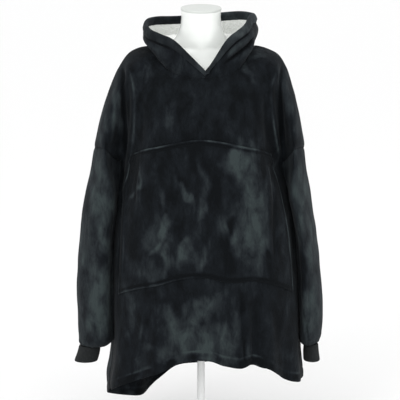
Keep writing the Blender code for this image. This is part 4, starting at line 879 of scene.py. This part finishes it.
# %% Hood surface
def hood_sketch(side):
    """Straight way from neck seam to rim, plus the profile times its shares, settled behind."""
    at = np.linspace(0, 2 * SEAM_AT, HOOD_COLUMNS + 1)
    neck = upper_points(np.array([0.0]), side * at)[0]
    ends = np.array(HOOD_RIM["left" if side > 0 else "right"])
    ends[1:-1, :, 0] *= side
    ends = smooth(RIM_AT, ends, at)
    seam, rim = ends[:, 0], ends[:, 1]
    front = bell(at / 0.22)[:, None] * (0.0, 0.0, 1.0)
    seam, rim = seam - 0.3 * front, rim - 0.75 * front
    seam = seam + (rim - seam) * (BAND_NARROW["left" if side > 0 else "right"] * bell((at - 0.55) / 0.75))[:, None]
    pouch, drop, roll = (smooth(RIM_AT, share, at) for share in (POUCH_OUT_SHARE, POUCH_DROP_SHARE, COLLAR_SHARE))
    turn, zero = at / (2 * SEAM_AT) * math.pi, np.zeros_like(at)
    back = unit(np.stack([side * 0.9 * np.sin(turn) * (1 - pouch), np.maximum(-np.cos(turn), 0.3), zero], -1))
    away = unit(np.stack([side * np.sin(turn), -np.cos(turn), zero], -1))
    steps = np.linspace(0, len(HOOD_PROFILE) - 1, HOOD_ROWS + 1)
    share, out, up, collar = smooth(np.arange(len(HOOD_PROFILE)), HOOD_PROFILE, steps).T
    even = np.linspace(0, 1, HOOD_ROWS + 1)
    share = (even[:, None] + (share - even)[:, None] * ease(drop * 1.6)[None])[..., None]
    points = neck[None] * (1 - share) + seam[None] * share
    points = points + back[None] * (out[:, None] * pouch[None])[..., None]
    points = points + away[None] * (collar[:, None] * roll[None])[..., None]
    points[..., 2] += up[:, None] * drop[None]
    behind = 0.4 * ease((at - 1.0) / SEAM_AT * 2)[None, 1:-1, None]
    for _ in range(3):
        near = (points[:-2, 1:-1] + points[2:, 1:-1] + points[1:-1, :-2] + points[1:-1, 2:]) / 4
        points[1:-1, 1:-1] += behind * (near - points[1:-1, 1:-1])
    return points, seam, rim, at


def hood_cut(points):
    """Mean length of the rows by the deepest column, in metres: the rectangle a half hood is cut from."""
    lengths = (run(points, 1)[:, -1].mean(), run(points, 0)[-1].max())
    return tuple(round(float(length) * CM + 0.005, 2) for length in lengths)


def finer(grid, rows, columns):
    """A sketch grid read at more rows and columns, cubic both ways."""
    down = smooth(np.arange(grid.shape[0]), grid, np.linspace(0, grid.shape[0] - 1, rows))
    across = smooth(np.arange(grid.shape[1]), down.transpose(1, 0, 2), np.linspace(0, grid.shape[1] - 1, columns))
    return across.transpose(1, 0, 2)


# %% [markdown]
# The lining is sherpa: an off-white knit whose pile is curled into small tight lumps. The lumps are
# real relief, two sizes of them pushed out of the surface, with the fine curls left to the bump.

# %% Sherpa material
def sherpa():
    """Off-white, with painted shade: greyer in the hollows between the 5 mm curls; a faint painted glow, emission,
    lightens the lining in the shade of the hood.
    """
    material, shader = finish("sherpa fleece, curled pile, painted glow and shade", Roughness=0.98, Sheen_Weight=0.3,
                              Specular_IOR_Level=0.1, Emission_Color=colour("#f4f8f2"), Emission_Strength=0.08)
    place = add(material, "ShaderNodeTexCoord").outputs["Object"]
    bent = add(material, "ShaderNodeTexNoise", {"Scale": 150.0, "Detail": 2.0}, {"Vector": place})
    mixed = add(material, "ShaderNodeVectorMath", {"operation": "MULTIPLY_ADD", 1: (0.006, 0.006, 0.006)},
                {0: bent.outputs["Color"], 2: place}).outputs[0]
    curls = add(material, "ShaderNodeTexVoronoi", {"Scale": 190.0}, {"Vector": mixed})
    tone = add(material, "ShaderNodeValToRGB",
               {"stops": ((0.0, "#ffffff"), (0.6, "#fbfcfa"), (1.0, "#e4e7e2"))}, {"Fac": curls.outputs["Distance"]})
    material.node_tree.links.new(tone.outputs["Color"], shader.inputs["Base Color"])
    bump = add(material, "ShaderNodeBump", {"Strength": 0.8, "Distance": 0.003, "invert": True},
               {"Height": curls.outputs["Distance"]})
    material.node_tree.links.new(bump.outputs[0], shader.inputs["Normal"])
    return material


SHERPA = sherpa()
LUMP_CM = 0.9

# %% Hood halves, outer cloth and lining
HOOD_MIDDLE = {0: 1.0, -1: 0.6}
BAND_EDGES = []
for side, key in ((-1.0, "right"), (1.0, "left")):
    sketch, seam, rim, at = hood_sketch(side)
    points = finer(sketch, 113, 129)
    faces = grid_faces(*points.shape[:2])
    faces = faces[:, [0, 3, 2, 1]] if side > 0 else faces
    for c, middle_x in HOOD_MIDDLE.items():
        points[:, c, 0] = middle_x
    normals = point_normals(points, faces)
    tall = finer(np.stack([unit(rim - seam)] * 2), 2, 129)[:1]
    turned = (np.linspace(0, 1, len(points)) ** 2)[:, None, None]
    normals = unit(normals - turned * tall * np.sum(normals * tall, axis=-1, keepdims=True))
    normals[:, [0, -1], 0] = 0.0
    normals = unit(normals)
    middle = run(points, 1, True)
    edge = np.minimum(run(points, 0), run(points, 0, True))
    up = np.linspace(0, 1, len(points))[:, None]
    round_at = np.linspace(0, 2 * SEAM_AT, points.shape[1])[None]
    fold = np.zeros(middle.shape)
    for start, end, high, half_width, lift in HOOD_FOLDS[key]:
        fold += lift * ease((round_at - start) * 4) * ease((end - round_at) * 4) * bell((up - high) / half_width)
    points = points + normals * (fold * ease(edge / 1.0))[..., None]
    height = -0.12 * bell(middle / 0.6) * ease(edge / 3.0) - 0.16 * bell(edge / 0.6)
    height += (0.18 * swell(points, 5.0, 1.4) + 0.08 * swell(points, 2.2)) * ease(edge / 2.0)
    outer = points + normals * height[..., None]
    outer[0] -= normals[0] * 0.3
    outer[0, :, 2] -= 0.4
    inner = points - normals * (HOOD_WALL + 0.03)
    lumps = np.maximum(0.1 + 0.16 * swell(inner, LUMP_CM) + 0.08 * swell(inner, LUMP_CM / 2), -0.05)
    lumps *= ease(edge / 1.0) * ease(middle / 1.0)
    tucked = 0.45 * bell(np.arange(len(points)) / 3.0)[:, None, None]
    inner = inner - normals * tucked
    inner = inner + (0.0, 0.5, 0.5) * bell(round_at / 0.12)[..., None]
    inner[..., 2] += tucked[..., 0] * 0.6
    # The hood's colour adds painted highlight on its raised folds and painted shade in its sunken ones.
    hood = cloth("hood_%s_plush" % key, outer, faces, HOOD_WALL, FLANNEL,
                 nap_level(points, (), 0.13) + np.where(fold > 0, 0.4, 0.7) * fold, normals)
    back_of_lining = inner - normals * (LINING_WALL + lumps)[..., None]
    lining = cloth("hood_lining_%s_sherpa" % key, back_of_lining, faces[:, ::-1], LINING_WALL, SHERPA,
                   None, -normals)
    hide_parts("hood_" + key)
    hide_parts("hood_lining_" + key)
    for piece in (hood, lining):
        SHEETS.append((piece, (hood_cut(outer), skin_area(outer, faces)), ["front_panel_plush", "back_panel_plush"]))
    inset = normals[-1, ::8] * (HOOD_WALL + 0.03 + LINING_WALL) / 2
    BAND_EDGES.append((sketch[-1] - inset, rim - inset))
print("hood halves and linings:", [cut for _, cut, _ in SHEETS[-4:]])

# %% [markdown]
# ## Edge band
# The rim of the hood is folded over a strip of wadding and stitched down, which makes a soft band
# about two and a half centimetres wide. It is a flattened tube carried along the rim, with small
# puckers where the stitches pull it.

# %% Band
BAND_HALF_THICK = 0.72


def band_points():
    """Rounded oval across, carried round the rim from the V back to the V, where it keeps a corner."""
    (right_seam, right_rim), (left_seam, left_rim) = BAND_EDGES
    knots = np.arange(2 * HOOD_COLUMNS + 1)
    turn = len(knots) - 1
    seam = np.concatenate([left_seam, right_seam[-2:0:-1]])[knots % turn]
    rim = np.concatenate([left_rim, right_rim[-2:0:-1]])[knots % turn]
    at = np.linspace(0, turn, 641)[:-1]
    seam, rim = smooth(knots, seam, at), smooth(knots, rim, at)
    tall = unit(rim - seam)
    low = seam - tall * 0.1
    centre, half = (low + rim) / 2, np.linalg.norm(rim - low, axis=-1) / 2
    along = unit(np.roll(centre, -1, axis=0) - np.roll(centre, 1, axis=0))
    along[:3] = along[-3:] = (1.0, 0.0, 0.0)
    thick = unit(np.cross(along, tall))
    angle = np.arange(36) * 2 * math.pi / 36
    tall_part = np.sign(np.cos(angle)) * np.abs(np.cos(angle)) ** 0.8
    thick_part = np.sign(np.sin(angle)) * np.abs(np.sin(angle)) ** 0.8
    length = run(centre, 0)[:, None]
    pucker = 0.07 * np.sin(length * 3.3 + 2.0 * swell(centre, 3.0)[:, None]) * ease(0.6 - tall_part)
    pinch = 1 - 0.35 * bell((tall_part + 0.8) / 0.16)
    across = BAND_HALF_THICK * pinch + pucker + 0.06 * swell(centre, 2.5)[:, None]
    points = (centre[:, None] + tall[:, None] * (half[:, None] * tall_part)[..., None]
              + thick[:, None] * (across * thick_part)[..., None])
    return points


points = band_points()
faces = grid_faces(*points.shape[:2], closed=True)
last = points.shape[0] - 1
wrap = grid_faces(2, points.shape[1], closed=True)
wrap = np.where(wrap < points.shape[1], wrap + last * points.shape[1], wrap - points.shape[1])
faces = np.concatenate([faces, wrap])
outwards = np.sum(point_normals(points, faces) * (points - points.mean(axis=1, keepdims=True)))
faces = faces if outwards > 0 else faces[:, ::-1]
# The band's colour is painted darker towards the wearer's right and lighter towards the left: painted shade and light
# by side, with slow swells.
band = put_mesh("hood_edge_band_plush", points, faces, BAND_FLEECE,
                (0.22 + 0.2 * np.tanh(points[..., 0] / 8) + 0.3 * swell(points, 2.0)).ravel())
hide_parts("hood_edge_band")

# %% [markdown]
# ## Dress form and stand
# The form is a limbless torso moulded in white plastic and lacquered, cut flat at the neck and
# closed with a cap. Gloss is what makes it plastic: soft lights draw bright upright bands on the
# neck. The pole and base are powder coated steel.

# %% White finishes
def white(name, code, rough, coat, grain):
    """White shell: one colour, a clear coat and a faint unevenness of the moulded surface."""
    material, shader = finish(name, Base_Color=colour(code), Roughness=rough, Coat_Weight=coat,
                              Coat_Roughness=0.08)
    place = add(material, "ShaderNodeTexCoord").outputs["Object"]
    orange = add(material, "ShaderNodeTexNoise", {"Scale": 1000 / grain, "Detail": 2.0}, {"Vector": place})
    spread = add(material, "ShaderNodeMapRange", {"From Min": 0.3, "From Max": 0.7, "To Min": rough * 0.85,
                                                  "To Max": rough * 1.25}, {"Value": orange.outputs["Fac"]})
    material.node_tree.links.new(spread.outputs[0], shader.inputs["Roughness"])
    bump = add(material, "ShaderNodeBump", {"Strength": 0.08, "Distance": 0.0006}, {"Height": orange.outputs["Fac"]})
    material.node_tree.links.new(bump.outputs[0], shader.inputs["Normal"])
    return material


SHELL = white("fibreglass shell, white lacquer", "#ecefec", 0.22, 0.5, 9.0)
CAP = white("ABS cap, satin moulded", "#ced2ce", 0.4, 0.1, 4.0)
STEEL = white("steel, white powder coat", "#fafbfa", 0.38, 0.1, 1.5)

# %% Torso and neck
FORM_SECTIONS = np.array((   # height, half width, half depth, forward shift, squareness
    (47.0, 14.6, 9.6, 0.0, 2.2), (48.2, 16.0, 10.8, 0.0, 2.2), (52.0, 17.0, 11.4, 0.0, 2.2),
    (60.0, 16.6, 11.0, 0.1, 2.2), (70.0, 14.2, 9.8, 0.3, 2.2), (78.0, 14.4, 10.0, 0.6, 2.2),
    (86.0, 16.8, 10.6, 1.0, 2.3), (92.0, 18.6, 10.2, 0.9, 2.4), (97.0, 19.4, 9.0, 0.4, 2.4),
    (100.0, 19.5, 8.1, 0.0, 2.3), (102.6, 19.1, 7.2, -0.5, 2.2), (104.6, 18.2, 6.4, -0.8, 2.0),
    (106.47, 17.0, 6.1, -0.9, 1.6), (107.37, 15.4, 5.95, -0.8, 1.35), (107.97, 12.8, 5.9, -0.6, 1.3),
    (108.7, 10.2, 5.85, -0.4, 1.45), (109.6, 8.4, 5.8, -0.2, 1.6), (110.9, 7.1, 5.7, -0.1, 1.8),
    (112.6, 6.35, 5.6, 0.0, 1.95), (114.0, 5.9, 5.55, 0.0, 2.0),
    (116.0, 5.65, 5.5, 0.0, 2.0), (118.4, 5.7, 5.5, 0.0, 2.0)))
NECK_TILT, NECK_TILT_FROM, CAP_THICK = 0.16, 112.0, 0.7


def rings(z, half_x, half_y, middle_y, square, tilt, sides=128):
    """Superellipses: cosine and sine to the power two over squareness, one ring for each height."""
    angle = np.arange(sides) * 2 * math.pi / sides
    power = 2 / np.asarray(square, float)[:, None]
    c, s = np.cos(angle), np.sin(angle)
    x = np.asarray(half_x)[:, None] * np.sign(c) * np.abs(c) ** power
    y = np.asarray(middle_y)[:, None] + np.asarray(half_y)[:, None] * np.sign(s) * np.abs(s) ** power
    return np.stack([x, y, np.asarray(z)[:, None] + np.asarray(tilt)[:, None] * y], axis=-1)


def closed_stack(name, points, material):
    """Rings joined by a grid; a smaller ring and quads round one middle point close each end flat."""
    sides = points.shape[1]
    middle = points[[0, -1]].mean(axis=1, keepdims=True)
    inset = 0.97 * points[[0, -1]] + 0.03 * middle
    rows = np.concatenate([inset[:1], points, inset[1:]])
    first, last = np.arange(sides), np.arange(sides) + (len(rows) - 1) * sides
    caps = []
    for pole, ring in ((rows.size // 3, first[::-1]), (rows.size // 3 + 1, last)):
        caps.append(np.stack([np.full(sides // 2, pole), ring[::2], ring[1::2], np.roll(ring, -2)[::2]], axis=-1))
    faces = np.concatenate([grid_faces(len(rows), sides, closed=True)[:, ::-1], *caps])
    return put_mesh(name, np.concatenate([rows.reshape(-1, 3), middle.reshape(-1, 3)]), faces, material)


z = np.unique(np.concatenate([np.linspace(47.0, 118.4, 150), FORM_SECTIONS[:, 0]]))
half_x, half_y, shift, square = (smooth(FORM_SECTIONS[:, 0], FORM_SECTIONS[:, k], z) for k in (1, 2, 3, 4))
tilt = NECK_TILT * ease((z - NECK_TILT_FROM) / (118.4 - NECK_TILT_FROM))
torso = closed_stack("form_torso_shell", rings(z, half_x, half_y, -shift, square, tilt), SHELL)
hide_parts("form_torso")

# %% Cap, pole and base
edge = np.linspace(0, math.pi / 2, 7)
rise = np.concatenate([0.12 * (1 - np.cos(edge)), CAP_THICK - 0.25 + 0.25 * np.sin(edge)])
half = np.concatenate([5.68 + 0.12 * np.sin(edge), 5.80 - 0.25 * (1 - np.cos(edge))])
flat = np.ones_like(rise)
disc = rings(118.43 + rise, half, half - 0.2, 0 * flat, 2 * flat, NECK_TILT * flat)
cap = closed_stack("form_neck_cap_disc", disc, CAP)
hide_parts("form_neck_cap")
pole_z = np.linspace(1.63, 53.37, 40) - HEM_ABOVE_FLOOR
one = np.ones_like(pole_z)
tube = rings(pole_z, 1.1 * one, 1.1 * one, 0 * one, 2 * one, 0 * one, 48)
pole = closed_stack("stand_pole_tube", tube, STEEL)
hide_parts("stand_pole")
rise = np.concatenate([0.4 * (1 - np.cos(edge)), 1.2 + 0.4 * np.sin(edge)])
half = np.concatenate([13.6 + 0.4 * np.sin(edge), 14.0 - 0.4 * (1 - np.cos(edge))])
plate = rings(rise - HEM_ABOVE_FLOOR, half, half, 0 * flat, 2 * flat, 0 * flat)
base = closed_stack("stand_base_plate", plate, STEEL)
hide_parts("stand_base")

# %% [markdown]
# ## What each sheet was cut to
# A sheet's flat size is the rectangle that its piece is cut from, so it is measured along the
# longest row and the longest column of the grid. Tubes are measured all round. Fleece hangs without
# stretching, so the area is the skin's own; on the cuffs it follows every rib.

# %% Sheets
for piece, (size, area), rests_on in SHEETS:
    print("%s: cut from %.2f x %.2f m, %.3f m2" % (piece.name, *size, area))

# %% [markdown]
# ## Room, light and camera
# The picture is plain: white all round, soft light from the front and above, a long lens a little
# above the middle of the garment, looking slightly down.

# %% Floor and light
bpy.ops.mesh.primitive_plane_add(size=320.0)
floor = bpy.context.object
floor.name = "floor"
floor_paint, _ = finish("matt white paint", Base_Color=colour("#fcfcfc"), Roughness=0.9)
floor.data.materials.append(floor_paint)

world = bpy.data.worlds.new("white room")
bpy.context.scene.world = world
world.use_nodes = True
world.node_tree.nodes["Background"].inputs["Color"].default_value = (1.0, 1.0, 1.0, 1.0)
world.node_tree.nodes["Background"].inputs["Strength"].default_value = 1.02


def soft_light(name, place, target, size, watts):
    """Square area light aimed from a place at a target."""
    lamp = bpy.data.lights.new(name, "AREA")
    lamp.shape, lamp.size, lamp.energy = "SQUARE", size, watts
    holder = bpy.data.objects.new(name, lamp)
    bpy.context.scene.collection.objects.link(holder)
    holder.location = place
    way = np.array(target, float) - np.array(place, float)
    holder.rotation_euler = (math.acos(-way[2] / np.linalg.norm(way)), 0.0, math.atan2(way[1], way[0]) - math.pi / 2)
    return holder


soft_light("key", (-1.6, -2.6, 2.6), (0.0, 0.0, 0.75), 1.6, 26)
soft_light("fill", (2.2, -2.2, 1.6), (0.0, 0.0, 0.7), 1.8, 12)

# %% Camera
TILT = math.radians(9)
AWAY = 4.0
target = np.array((-0.003, 0.0, 0.702))
lens_data = bpy.data.cameras.new("camera")
lens_data.sensor_width = 36
lens_data.lens = 36 * 345 * AWAY / 400
lens_data.clip_end = 400
camera = bpy.data.objects.new("camera", lens_data)
bpy.context.scene.collection.objects.link(camera)
camera.location = target + AWAY * np.array((0.0, -math.cos(TILT), math.sin(TILT)))
camera.rotation_euler = (math.pi / 2 - TILT, 0.0, 0.0)
bpy.context.scene.camera = camera
bpy.context.scene.view_settings.view_transform = "Standard"
